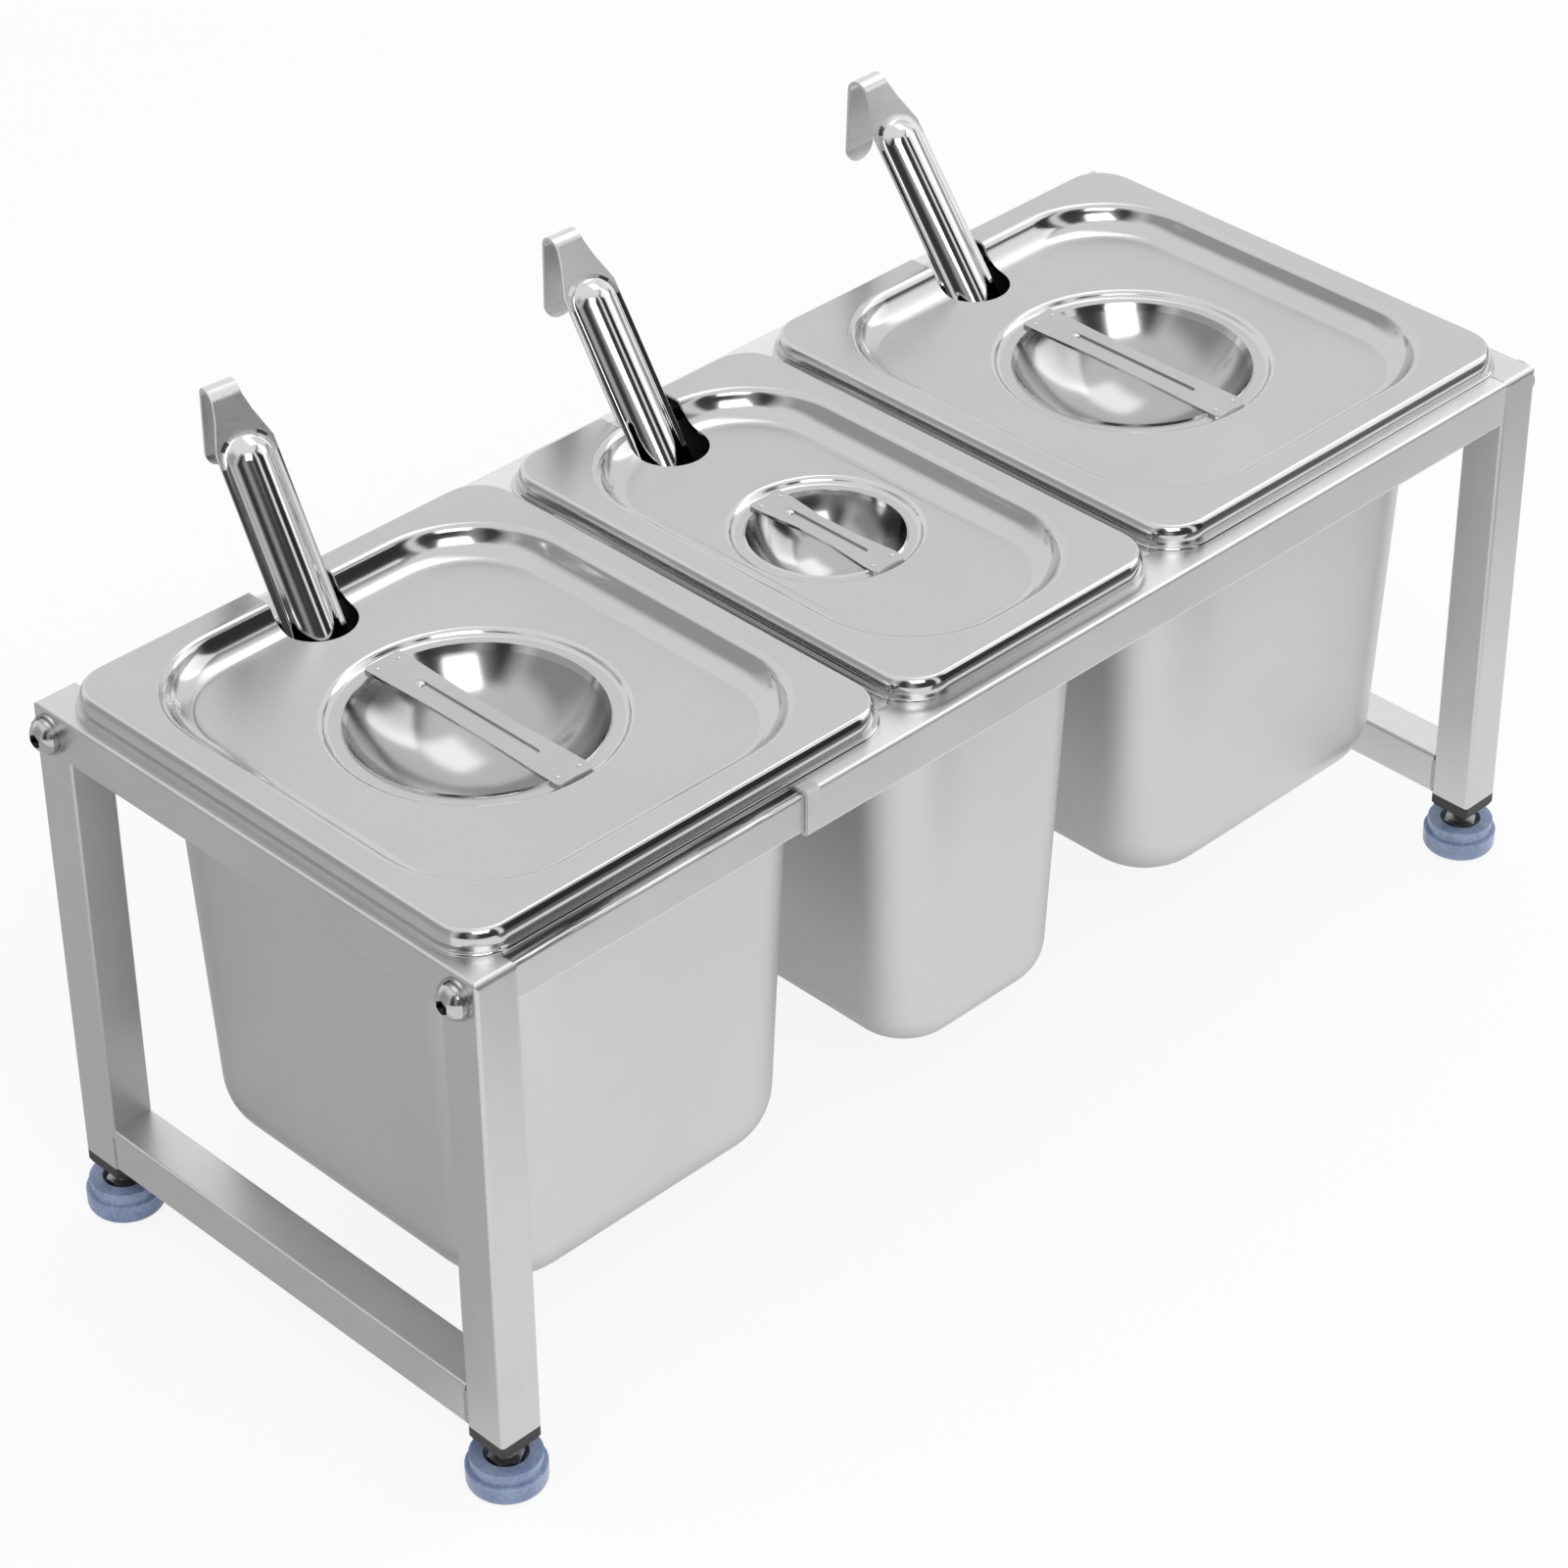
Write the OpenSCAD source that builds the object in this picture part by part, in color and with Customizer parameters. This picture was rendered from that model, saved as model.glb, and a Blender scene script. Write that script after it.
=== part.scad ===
/* [Frame] */
// Outside width of the square frame tube
tube = 15; // [14.5:0.5:18]
// Wall of the square frame tube
tube_wall = 1; // [0.8:0.1:1.2]
// Corner radius along the tube's edges
tube_round = 1.2; // [1.1:0.1:2]
// Radius ground on the two top corners of each end frame
corner_grind = 2; // [0.5:0.1:2.2]
// Length of the inner rails that slide in the outer rails
inner_rail_l = 315; // [260:5:330]
// Length of inner rail that shows between the left end and the collar
rail_show = 107; // [60:1:150]
// Length of the plastic collar at the outer rail's mouth
collar_l = 5; // [3:0.5:10]
// Gap between the inner rail and the outer rail's bore, each side
rail_gap = 0.2; // [0.15:0.05:0.4]

/* [Rail fastening] */
// Diameter of the socket button bolts
bolt_d = 6; // [5:0.5:7]
// Depth of the bolt in the threaded insert
bolt_grip = 12; // [8:1:14]
// Diameter of the bolt's button head
bolt_head_d = 10.5; // [9:0.5:12]
// Height of the bolt's button head
bolt_head_h = 3.3; // [2.5:0.1:4]
// Width across the flats of the bolt's hexagon socket
bolt_key = 4; // [3:0.5:4.5]
// Outside diameter of the flat washer
washer_d = 12.5; // [12:0.1:13.5]
// Thickness of the flat washer
washer_t = 1.2; // [0.8:0.1:1.6]
// Outside diameter of the split spring washer
spring_d = 11; // [10:0.1:11.5]
// Thickness of the split spring washer
spring_t = 1.6; // [1.2:0.1:2]
// Length of the threaded insert in each rail's end
insert_l = 16; // [15:1:24]

/* [Feet] */
// Thickness of the plug's flange under the leg
plug_flange = 4.5; // [3:0.5:7]
// Depth of the plug inside the leg
plug_l = 16; // [14:1:24]
// Length of levelling stud that shows above the pad
stud_show = 5.5; // [4:0.5:9]
// Diameter of the levelling stud
stud_d = 6; // [5:0.5:7]
// Length of stud held in the plug at rest, past its flange
stud_grip = 12; // [9:0.5:13]
// Diameter of the pad's lower tier
pad_d = 24; // [22:0.5:30]
// Height of the pad's lower tier
pad_low_h = 7; // [5:0.5:9]
// Diameter of the pad's upper tier
pad_top_d = 21.5; // [18:0.5:22]
// Height of the pad's upper tier
pad_top_h = 4; // [3:0.5:6]
// Radius round the pad's bottom edge
pad_round = 2.5; // [1:0.25:3]
// Diameter of the recess in the pad's top
pad_recess_d = 13.4; // [13:0.1:15]
// Depth of the recess in the pad's top
pad_recess = 3.5; // [2.5:0.25:4.5]
// Width across the flats of the stud's hexagon
stud_hex = 10; // [9:0.5:11]

/* [Pans] */
// Length of the rims, front to back
rim_d = 176; // [170:1:190]
// Rim width of the two large pans
large_w = 162; // [150:1:180]
// Rim width of the small middle pan
small_w = 108; // [100:1:130]
// Depth of the pans from the rim's top
pan_depth = 150; // [110:1:170]
// Thickness of the pan and lid sheet
sheet = 0.8; // [0.6:0.1:1]
// Rim's turned-down edge, from its top
rim_drop = 2.2; // [1.6:0.1:4]
// Corner radius of the rims
rim_round = 15; // [12:0.5:17]
// Distance from the rim's edge to the body wall on the large pans
large_inset = 13; // [12:0.5:14]
// Distance from the rim's edge to the body wall on the small pan
small_inset = 10.5; // [10:0.25:11]
// Corner radius of the large pans' walls at the top
large_round = 32; // [30:1:36]
// Corner radius of the small pan's walls at the top
small_round = 27; // [26:1:30]
// Draft of the walls, from the top to the bottom, each side
pan_draft = 7; // [4:0.5:8]
// Radius between wall and bottom of the large pans
large_fillet = 20; // [14:1:22]
// Radius between wall and bottom of the small pan
small_fillet = 15; // [10:1:17]
// Gap between neighbouring rims
pan_gap = 3.2; // [2:0.1:6]
// Clearance from the pan bottoms to the legs' ends
under_pan = 16.2; // [15.5:0.1:40]

/* [Lids] */
// Height of the lid's skirt, from the rim to the lid's top
lid_h = 6; // [5:0.25:8]
// Depth of the recessed panel below the lid's top
panel_drop = 7.5; // [6.5:0.25:8]
// Distance from the lid's edge to the recess
flange_w = 10.5; // [10:0.25:12]
// Corner radius of the recess
recess_round = 36; // [30:1:40]
// Radius of the soft fillet at the foot of the recess wall
recess_fillet = 8; // [6.5:0.25:8.5]
// Width of the ladle notch
notch_w = 24; // [23.5:0.1:28]
// Distance from the back edge to the notch's round end, large lids
notch_reach = 31; // [28:0.5:31]
// Distance from the back edge to the notch's round end, small lid
small_notch_reach = 33; // [30:0.5:38]
// How far forward the small lid lies in its play on the pan
small_lid_shift = 1.2; // [0:0.1:1.5]

/* [Dishes and straps] */
// Radius of the ring ledge's outer edge on the large lids
dish_r = 45; // [42:0.5:46]
// Radius of the ring ledge's outer edge on the small lid
small_dish_r = 30.5; // [29:0.5:31]
// Depth of the ring ledge below the panel
ledge_drop = 1.8; // [1.4:0.1:2.2]
// Depth of the large lids' finger bowls below the ledge
bowl_depth = 22; // [16:0.5:26]
// Depth of the small lid's finger bowl below the ledge
small_bowl_depth = 18; // [14:0.5:20]
// Radial width of the large lids' ledge with its step
ledge_w = 7.5; // [6.5:0.25:9]
// Radial width of the small lid's ledge with its step
small_ledge_w = 6.5; // [6:0.25:7]
// Thickness of the strap
strap_t = 1; // [0.8:0.1:1.4]
// Width of the large lids' straps at the ends
strap_end_w = 13.5; // [12:0.5:16]
// Width of the large lids' straps in the middle
strap_w = 12; // [10:0.5:12]
// Width of the small lid's strap at the ends
small_strap_end_w = 12.6; // [11:0.1:14]
// Width of the small lid's strap in the middle
small_strap_w = 9.5; // [8:0.5:11]
// Width of the stiffening groove pressed along the strap
groove_w = 2.6; // [2:0.2:4]
// Depth of the stiffening groove
groove_h = 0.6; // [0.4:0.1:0.7]

/* [Ladles] */
// Length of the ladle from the bowl's rim to the handle's shoulder
ladle_l = 211; // [185:1:213]
// Width of the ladle's handle
handle_w = 18.4; // [16:0.2:18.6]
// Width of the half tube pressed in the handle
channel_w = 14; // [11:0.5:14.5]
// Height of the half tube over the handle's back
channel_h = 5.2; // [4:0.1:6.5]
// Thickness of the ladle's sheet
ladle_t = 1.2; // [1:0.1:1.4]
// Length of the flat neck above the shoulder
neck_l = 14.3; // [12:0.5:20]
// Width of the neck where it turns into the hook
neck_w = 9.4; // [8:0.2:11]
// Radius of the hook's bend, in the middle of the sheet
hook_r = 4.6; // [3.5:0.1:6]
// Length of the hook's straight strip
hook_l = 28; // [20:1:34]
// Width of the hook's strip at the tip
hook_tip_w = 11.2; // [9:0.2:13]
// Diameter of the ladle's bowl
ladle_bowl_d = 50; // [40:1:52]
// Depth of the ladle's bowl
ladle_bowl_h = 20; // [16:0.5:22]
// Height of the shoulders over the rims: left, middle, right
shoulder_up = [51.3, 46.6, 51.2];
// Backward lean of the ladles: left, middle, right, in degrees
lean = [31, 35.3, 36];
// Sideways lean of the ladles, in degrees
side_lean = [2.2, 1.4, -0.8];
// Turn of the ladles about their own handles, in degrees
twist = [15, 10, 5];
// Place of the handles off the pans' middles, at the rim
handle_off = [-0.6, 0.4, 0.4];

/* [Hidden] */
$fn = 48;

// Clearances and small steps that several pieces share
fit_gap = 0.1;
thread_gap = 0.05;
seat_gap = 0.3;
washer_gap = 0.2;
end_play = 3.3;
side_play = 1.5;
pan_forward = 1.2;
over = 1;

// Bends of the pan's rim, the pan's mouth, the lid's edge and the recess
rim_bend = 1;
mouth_bend = 3;
lid_bend = 2;
lip_w = 1.6;
lid_lip_in = 0.3;
recess_bend = 1.5;
recess_tilt = 70;
flange_band = 3.2;
dish_bend = 1.2;
edge_band = 5;
lap = 1;
bend_steps = 5;
fillet_steps = 8;
dish_steps = 12;

// Frame in its own coordinates: the front left leg's axis is x = y = 0, the floor is z = 0
foot_drop = plug_flange + stud_show + pad_low_h + pad_top_h;
leg_h = pan_depth - rim_drop + under_pan;
z_top = foot_drop + leg_h;
z_rail = z_top - tube / 2;
frame_d = rim_d - 2 * small_inset + 2 * side_play + 2 * tube;
y_back = frame_d - tube;
y_mid = y_back / 2 - pan_forward;

// The row of pans stands with its first wall just off the left crossbar
row_x = tube / 2 + seat_gap - large_inset;
pan_x = [
  row_x + large_w / 2,
  row_x + large_w + pan_gap + small_w / 2,
  row_x + large_w + 2 * pan_gap + small_w + large_w / 2
];
x_right = pan_x[2] + large_w / 2 - large_inset + end_play + tube / 2;
inner_size = tube - 2 * tube_wall - 2 * rail_gap;
bore_size = tube - 2 * tube_wall;
collar_x = tube / 2 + rail_show;
left_insert = inner_size - 2 * tube_wall - 2 * fit_gap;
right_insert = bore_size - 2 * fit_gap;
rim_z = z_top + rim_drop;
lid_z = rim_z + lid_h;

module rounded_square(size, r) {
  side = size - 2 * r;
  union() {
    square([size, side], center = true);
    square([side, size], center = true);
    for (x = [-side / 2, side / 2], y = [-side / 2, side / 2]) translate([x, y]) circle(r);
  }
}

module rounded_rect(w, d, r) {
  union() {
    square([w, d - 2 * r], center = true);
    square([w - 2 * r, d], center = true);
    for (x = [-w / 2 + r, w / 2 - r], y = [-d / 2 + r, d / 2 - r]) translate([x, y]) circle(r);
  }
}

// Square tube along +Z from the origin
module square_tube(len, size) {
  difference() {
    linear_extrude(len) rounded_square(size, tube_round);
    translate([0, 0, -over]) linear_extrude(len + 2 * over)
      rounded_square(size - 2 * tube_wall, tube_round - tube_wall + fit_gap);
  }
}

// Everything above the sloping cut of a top corner; dir is +1 at the front, -1 at the back
module mitre(y, dir, above) {
  translate([0, y, z_rail]) rotate([dir * 45, 0, 0])
    translate([-tube, -2 * tube, above ? 0 : -4 * tube]) cube([2 * tube, 4 * tube, 4 * tube]);
}

// End frame's outline seen along X, with its ground top corners
module end_outline(x) {
  h = z_top + over;
  translate([x - tube, 0, 0]) rotate([90, 0, 90]) linear_extrude(2 * tube)
    translate([y_back / 2, z_top - h / 2]) rounded_rect(frame_d, h, corner_grind);
}

module bolt_holes(x) {
  for (y = [0, y_back]) translate([x - tube, y, z_rail]) rotate([0, 90, 0])
    cylinder(h = 2 * tube, d = bolt_d + 2 * washer_gap);
}

module leg(x, y, dir) {
  color([0.72, 0.72, 0.72]) intersection() {
    difference() {
      translate([x, y, foot_drop]) square_tube(leg_h, tube);
      translate([x, 0, 0]) mitre(y, -dir, true);
      bolt_holes(x);
    }
    end_outline(x);
  }
}

module top_crossbar(x) {
  color([0.75, 0.75, 0.75]) intersection() {
    difference() {
      translate([x, -tube / 2, z_rail]) rotate([-90, 0, 0]) square_tube(frame_d, tube);
      translate([x, 0, 0]) mitre(0, -1, false);
      translate([x, 0, 0]) mitre(y_back, 1, false);
      bolt_holes(x);
    }
    end_outline(x);
  }
}

module bottom_crossbar(x) {
  color([0.72, 0.72, 0.72]) translate([x, tube / 2, foot_drop + tube / 2])
    rotate([-90, 0, 0]) square_tube(y_back - tube, tube);
}

module inner_rail(y) {
  color([0.78, 0.78, 0.78]) translate([tube / 2, y, z_rail])
    rotate([0, 90, 0]) square_tube(inner_rail_l, inner_size);
}

module outer_rail(y) {
  x = collar_x + collar_l;
  color([0.75, 0.75, 0.75]) translate([x, y, z_rail])
    rotate([0, 90, 0]) square_tube(x_right - tube / 2 - x, tube);
}

module rail_collar(y) {
  color([0.85, 0.85, 0.82]) translate([collar_x, y, z_rail]) rotate([0, 90, 0]) difference() {
    linear_extrude(collar_l) rounded_square(tube, tube_round);
    translate([0, 0, -over]) linear_extrude(collar_l + 2 * over)
      rounded_square(inner_size + 2 * fit_gap, tube_round);
  }
}

// Threaded inserts of the rails that end at face x; dir is the way into the rail
module rail_inserts(x, dir, size) {
  color([0.5, 0.5, 0.5]) for (y = [0, y_back]) translate([x, y, z_rail]) rotate([0, dir * 90, 0])
    difference() {
      linear_extrude(insert_l) rounded_square(size, tube_round);
      translate([0, 0, -over]) cylinder(h = insert_l + 2 * over, d = bolt_d + 2 * thread_gap);
    }
}

// Distance from the leg's axis to the underside of the bolt's head
head_off = tube / 2 + washer_t + spring_t;

key_depth = 2;

module bolts(x, dir) {
  shank = head_off + tube / 2 + bolt_grip;
  dome_r = (pow(bolt_head_d / 2, 2) + pow(bolt_head_h, 2)) / (2 * bolt_head_h);
  color([0.3, 0.3, 0.3]) for (y = [0, y_back]) translate([x + dir * head_off, y, z_rail])
    rotate([0, -dir * 90, 0]) difference() {
      union() {
        cylinder(h = shank, d = bolt_d);
        intersection() {
          translate([0, 0, dome_r - bolt_head_h]) sphere(dome_r);
          translate([0, 0, -bolt_head_h]) cylinder(h = bolt_head_h, d = bolt_head_d);
        }
      }
      translate([0, 0, -bolt_head_h - over])
        cylinder(h = key_depth + over, d = bolt_key / cos(30), $fn = 6);
    }
}

module flat_washers(x, dir) {
  color([0.8, 0.8, 0.8]) for (y = [0, y_back])
    translate([x + dir * tube / 2, y, z_rail]) rotate([0, dir * 90, 0]) difference() {
      cylinder(h = washer_t, d = washer_d);
      translate([0, 0, -over]) cylinder(h = washer_t + 2 * over, d = bolt_d + 2 * washer_gap);
    }
}

spring_split = 0.8;
spring_turn = 20;
module spring_washers(x, dir) {
  color([0.35, 0.35, 0.35]) for (y = [0, y_back])
    translate([x + dir * (tube / 2 + washer_t), y, z_rail]) rotate([0, dir * 90, 0]) difference() {
      cylinder(h = spring_t, d = spring_d);
      translate([0, 0, -over]) cylinder(h = spring_t + 2 * over, d = bolt_d + 2 * fit_gap);
      rotate([0, 0, spring_turn]) translate([0, -spring_split / 2, -over])
        cube([spring_d, spring_split, spring_t + 2 * over]);
    }
}

module leg_plug(x, y) {
  color([0.08, 0.08, 0.08]) translate([x, y, foot_drop]) difference() {
    union() {
      linear_extrude(plug_l) rounded_square(bore_size - 2 * fit_gap, tube_round);
      translate([0, 0, -plug_flange + over]) linear_extrude(plug_flange - over)
        rounded_square(tube, tube_round);
      translate([0, 0, -plug_flange]) linear_extrude(over)
        rounded_square(tube - over, tube_round);
    }
    translate([0, 0, -plug_flange - over])
      cylinder(h = plug_flange + plug_l + 2 * over, d = stud_d + 2 * thread_gap);
  }
}

pad_h = pad_low_h + pad_top_h;
hex_h = 3;
tip_l = 4;

module foot_pad(x, y) {
  color([0.25, 0.55, 0.95, 0.7]) translate([x, y, 0]) difference() {
    union() {
      rotate_extrude() union() {
        square([pad_d / 2 - pad_round, pad_round]);
        translate([0, pad_round]) square([pad_d / 2, pad_low_h - pad_round]);
        intersection() {
          translate([pad_d / 2 - pad_round, pad_round]) circle(pad_round);
          square([pad_d, pad_round]);
        }
      }
      translate([0, 0, pad_low_h]) cylinder(h = pad_top_h, d = pad_top_d);
    }
    translate([0, 0, pad_h - pad_recess]) cylinder(h = pad_recess + over, d = pad_recess_d);
    translate([0, 0, pad_h - pad_recess - tip_l])
      cylinder(h = pad_recess + tip_l, d = stud_d + 2 * thread_gap);
  }
}

module foot_stud(x, y) {
  base = pad_h - pad_recess - tip_l;
  top = foot_drop + stud_grip;
  color([0.6, 0.6, 0.6]) translate([x, y, 0]) union() {
    translate([0, 0, base]) cylinder(h = top - base, d = stud_d);
    translate([0, 0, base + tip_l]) cylinder(h = hex_h, d = stud_hex / cos(30), $fn = 6);
  }
}

// Points along an arc about c, from angle a0 to angle a1
function arc(c, r, a0, a1, n) = [for (i = [0 : n]) let(a = a0 + (a1 - a0) * i / n)
  [c[0] + r * cos(a), c[1] + r * sin(a)]];

// Outline of a bent sheet of thickness t, from the line that its upper face follows.
// A sheet that turns about an axis (spun) keeps its end there square to the axis.
function unit(v) = v / norm(v);
function left_of(p, q) = unit([p[1] - q[1], q[0] - p[0]]);
function under(pts, i, t, spun) = let(
  last = len(pts) - 1,
  a = left_of(pts[min(max(i - 1, 0), last - 1)], pts[max(i, 1)]),
  b = left_of(pts[min(i, last - 1)], pts[min(i + 1, last)]),
  n = spun && pts[i][0] < lap / 100 ? [0, sign(a[1])] : unit(a + b))
  pts[i] + n * t / (n * a);
function bent_sheet(pts, t, spun = false) =
  concat(pts, [for (i = [len(pts) - 1 : -1 : 0]) under(pts, i, t, spun)]);

// Carries a profile round a rounded rectangle: x is outward from its edge
module round_rect_sweep(w, d, r) {
  for (c = [[1, 1, 0], [-1, 1, 90], [-1, -1, 180], [1, -1, 270]])
    translate([c[0] * (w / 2 - r), c[1] * (d / 2 - r), 0]) rotate([0, 0, c[2]])
      rotate_extrude(angle = 90) translate([r, 0]) children();
  for (s = [[w, d, 0], [d, w, 90], [w, d, 180], [d, w, 270]])
    rotate([0, 0, s[2]]) translate([s[0] / 2, s[1] / 2 - r, 0]) rotate([90, 0, 0])
      linear_extrude(s[1] - 2 * r) children();
}

// Flat ring of sheet with its top at z = 0
module ring_plate(w, d, r, inset, inset_r) {
  translate([0, 0, -sheet]) linear_extrude(sheet) difference() {
    rounded_rect(w, d, r);
    rounded_rect(w - 2 * inset, d - 2 * inset, inset_r);
  }
}

// Pan with its rim's top at z = 0, centred on the origin
module pan(w, inset, r, fillet) {
  body_w = w - 2 * inset;
  body_d = rim_d - 2 * inset;
  slope = atan(pan_draft / pan_depth);
  inner_f = fillet - sheet;
  mouth_x = mouth_bend - sheet;
  arc_z = fillet - pan_depth;
  arc_x = mouth_x + (mouth_bend * (sin(slope) - 1) - inner_f + arc_z * sin(slope)) / cos(slope);
  floor_x = arc_x - lap / 2;
  rim_line = concat([[0, -rim_drop]], arc([-rim_bend, -rim_bend], rim_bend, 0, 90, bend_steps),
    [[-flange_band, 0]]);
  wall_line = concat([[mouth_x + lap, 0]],
    arc([mouth_x, -mouth_bend], mouth_bend, 90, 180 - slope, bend_steps),
    arc([arc_x, arc_z], inner_f, -slope, -90, fillet_steps),
    [[arc_x - lap, sheet - pan_depth]]);
  color([0.7, 0.7, 0.7]) union() {
    round_rect_sweep(w, rim_d, rim_round) polygon(bent_sheet(rim_line, sheet));
    round_rect_sweep(body_w, body_d, r) polygon(bent_sheet(wall_line, sheet));
    ring_plate(w - 2 * flange_band + lap, rim_d - 2 * flange_band + lap,
      rim_round - flange_band + lap / 2, inset - mouth_x - flange_band, r + mouth_x + lap / 2);
    translate([0, 0, -pan_depth]) linear_extrude(sheet)
      rounded_rect(body_w + 2 * floor_x, body_d + 2 * floor_x, r + floor_x);
  }
}

// Distance across the recess wall, from the flange to the panel
recess_fall = panel_drop - (recess_bend + recess_fillet) * (1 - cos(recess_tilt));
recess_run = (recess_bend + recess_fillet) * sin(recess_tilt) + recess_fall / tan(recess_tilt);

// Lid with its flange's top at z = 0, centred on the origin; the notch opens at +Y
module lid(w, ring_r, ledge, depth, reach) {
  lid_w = w - 2 * lid_lip_in;
  lid_d = rim_d - 2 * lid_lip_in;
  edge = flange_w - lid_lip_in;
  skirt_in = lip_w - sheet;
  bend_c = [-skirt_in - lid_bend, -lid_bend];
  edge_outline = concat([[-lip_w, -lid_h], [0, -lid_h], [0, sheet - lid_h],
    [-skirt_in, sheet - lid_h]], arc(bend_c, lid_bend, 0, 90, bend_steps),
    [[-edge_band, 0], [-edge_band, -sheet]], arc(bend_c, lid_bend - sheet, 90, 0, bend_steps));
  recess_line = concat([[lap, 0]],
    arc([0, -recess_bend], recess_bend, 90, 90 + recess_tilt, bend_steps),
    arc([-recess_run, recess_fillet - panel_drop], recess_fillet, recess_tilt - 90, -90,
      fillet_steps),
    [[-recess_run - lap, -panel_drop]]);
  panel_in = 2 * (edge + recess_run) + lap;
  notch_y = rim_d / 2 - reach + notch_w / 2;
  color([0.78, 0.78, 0.78]) difference() {
    union() {
      round_rect_sweep(lid_w, lid_d, rim_round) polygon(edge_outline);
      round_rect_sweep(lid_w - 2 * edge, lid_d - 2 * edge, recess_round)
        polygon(bent_sheet(recess_line, sheet));
      ring_plate(lid_w - 2 * edge_band + lap, lid_d - 2 * edge_band + lap,
        rim_round - edge_band + lap / 2, edge - edge_band, recess_round + lap / 2);
      translate([0, 0, -panel_drop - sheet]) linear_extrude(sheet) difference() {
        rounded_rect(lid_w - panel_in, lid_d - panel_in, recess_round - recess_run - lap / 2);
        circle(ring_r + lap / 2);
      }
      translate([0, 0, -panel_drop]) dish(ring_r, ring_r - ledge, depth);
    }
    translate([0, 0, -panel_drop - sheet - over]) linear_extrude(panel_drop + sheet + 2 * over)
      union() {
        translate([0, notch_y]) circle(notch_w / 2);
        translate([-notch_w / 2, notch_y]) square([notch_w, reach]);
      }
  }
}

// Turn of the step's two bends, and the radius at the step's foot
step_turn = acos(1 - ledge_drop / 2 / dish_bend);
function foot_r(ring_r) = ring_r - 2 * dish_bend * sin(step_turn);
// Radius of the ball whose cap is h deep and has a mouth of radius a
function ball_r(a, h) = (a * a + h * h) / (2 * h);

// Ring ledge and finger bowl, with the panel's top at z = 0
module dish(ring_r, mouth_r, depth) {
  ball = ball_r(mouth_r, depth);
  line = concat([[ring_r + lap, 0]],
    arc([ring_r, -dish_bend], dish_bend, 90, 90 + step_turn, bend_steps),
    arc([foot_r(ring_r), dish_bend - ledge_drop], dish_bend, step_turn - 90, -90, bend_steps),
    arc([0, ball - ledge_drop - depth], ball, asin(mouth_r / ball) - 90, -90, dish_steps));
  rotate_extrude() polygon(bent_sheet(line, sheet, true));
}

module placed_pan(i) {
  translate([pan_x[i], y_mid, rim_z]) if (i == 1) pan(small_w, small_inset, small_round, small_fillet);
  else pan(large_w, large_inset, large_round, large_fillet);
}

module lid_place(i) {
  translate([pan_x[i], y_mid - (i == 1 ? small_lid_shift : 0), lid_z]) children();
}

module placed_lid(i) {
  lid_place(i) if (i == 1) lid(small_w, small_dish_r, small_ledge_w, small_bowl_depth, small_notch_reach);
  else lid(large_w, dish_r, ledge_w, bowl_depth, notch_reach);
}

module slot(len, r) {
  union() {
    square([2 * r, len], center = true);
    for (y = [-len / 2, len / 2]) translate([0, y]) circle(r);
  }
}

// Flat strap with wider ends and a pressed groove, lying on the ledge
strap_end_gap = 1.5;
strap_clip = 0.8;
module strap(ring_r, mouth_r, end_w, mid_w) {
  half = foot_r(ring_r) - strap_end_gap;
  wide = mouth_r * 0.9;
  cut = strap_clip;
  e = end_w / 2;
  m = mid_w / 2;
  groove_l = 1.3 * mouth_r;
  color([0.8, 0.8, 0.8]) translate([0, 0, -panel_drop - ledge_drop]) difference() {
    union() {
      linear_extrude(strap_t) polygon([
        [cut - e, half], [e - cut, half], [e, half - cut], [e, wide], [m, wide / 3],
        [m, -wide / 3], [e, -wide], [e, cut - half], [e - cut, -half], [cut - e, -half],
        [-e, cut - half], [-e, -wide], [-m, -wide / 3], [-m, wide / 3], [-e, wide],
        [-e, half - cut]]);
      translate([0, 0, -groove_h]) linear_extrude(groove_h + strap_t / 2)
        slot(groove_l, groove_w / 2 + strap_t / 2);
    }
    translate([0, 0, strap_t - groove_h]) linear_extrude(groove_h + over)
      slot(groove_l, groove_w / 2);
  }
}

module lid_strap(i) {
  lid_place(i) if (i == 1)
    strap(small_dish_r, small_dish_r - small_ledge_w, small_strap_end_w, small_strap_w);
  else strap(dish_r, dish_r - ledge_w, strap_end_w, strap_w);
}

// Front face of the handle across its width: the half tube between two flat edges
channel_r = ball_r(channel_w / 2, channel_h - ladle_t);
channel_a = asin(channel_w / 2 / channel_r);
function channel_line(from, n) =
  arc([0, channel_r - channel_h], channel_r, from, channel_a - 90, n);

// Ladle with the bowl's rim at z = 0, the handle's back on y = 0 and its front towards -Y
bowl_wall = 1;
bowl_straight = 5;
foot_l = 4;
flat_r = channel_w / 2 + ladle_t / 2;

// Outline of the half tube at its round end; way is the tube's side of that end
module tube_end(r, way) {
  union() {
    circle(r);
    translate([-r, way * lap - lap]) square([2 * r, 2 * lap]);
  }
}

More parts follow.
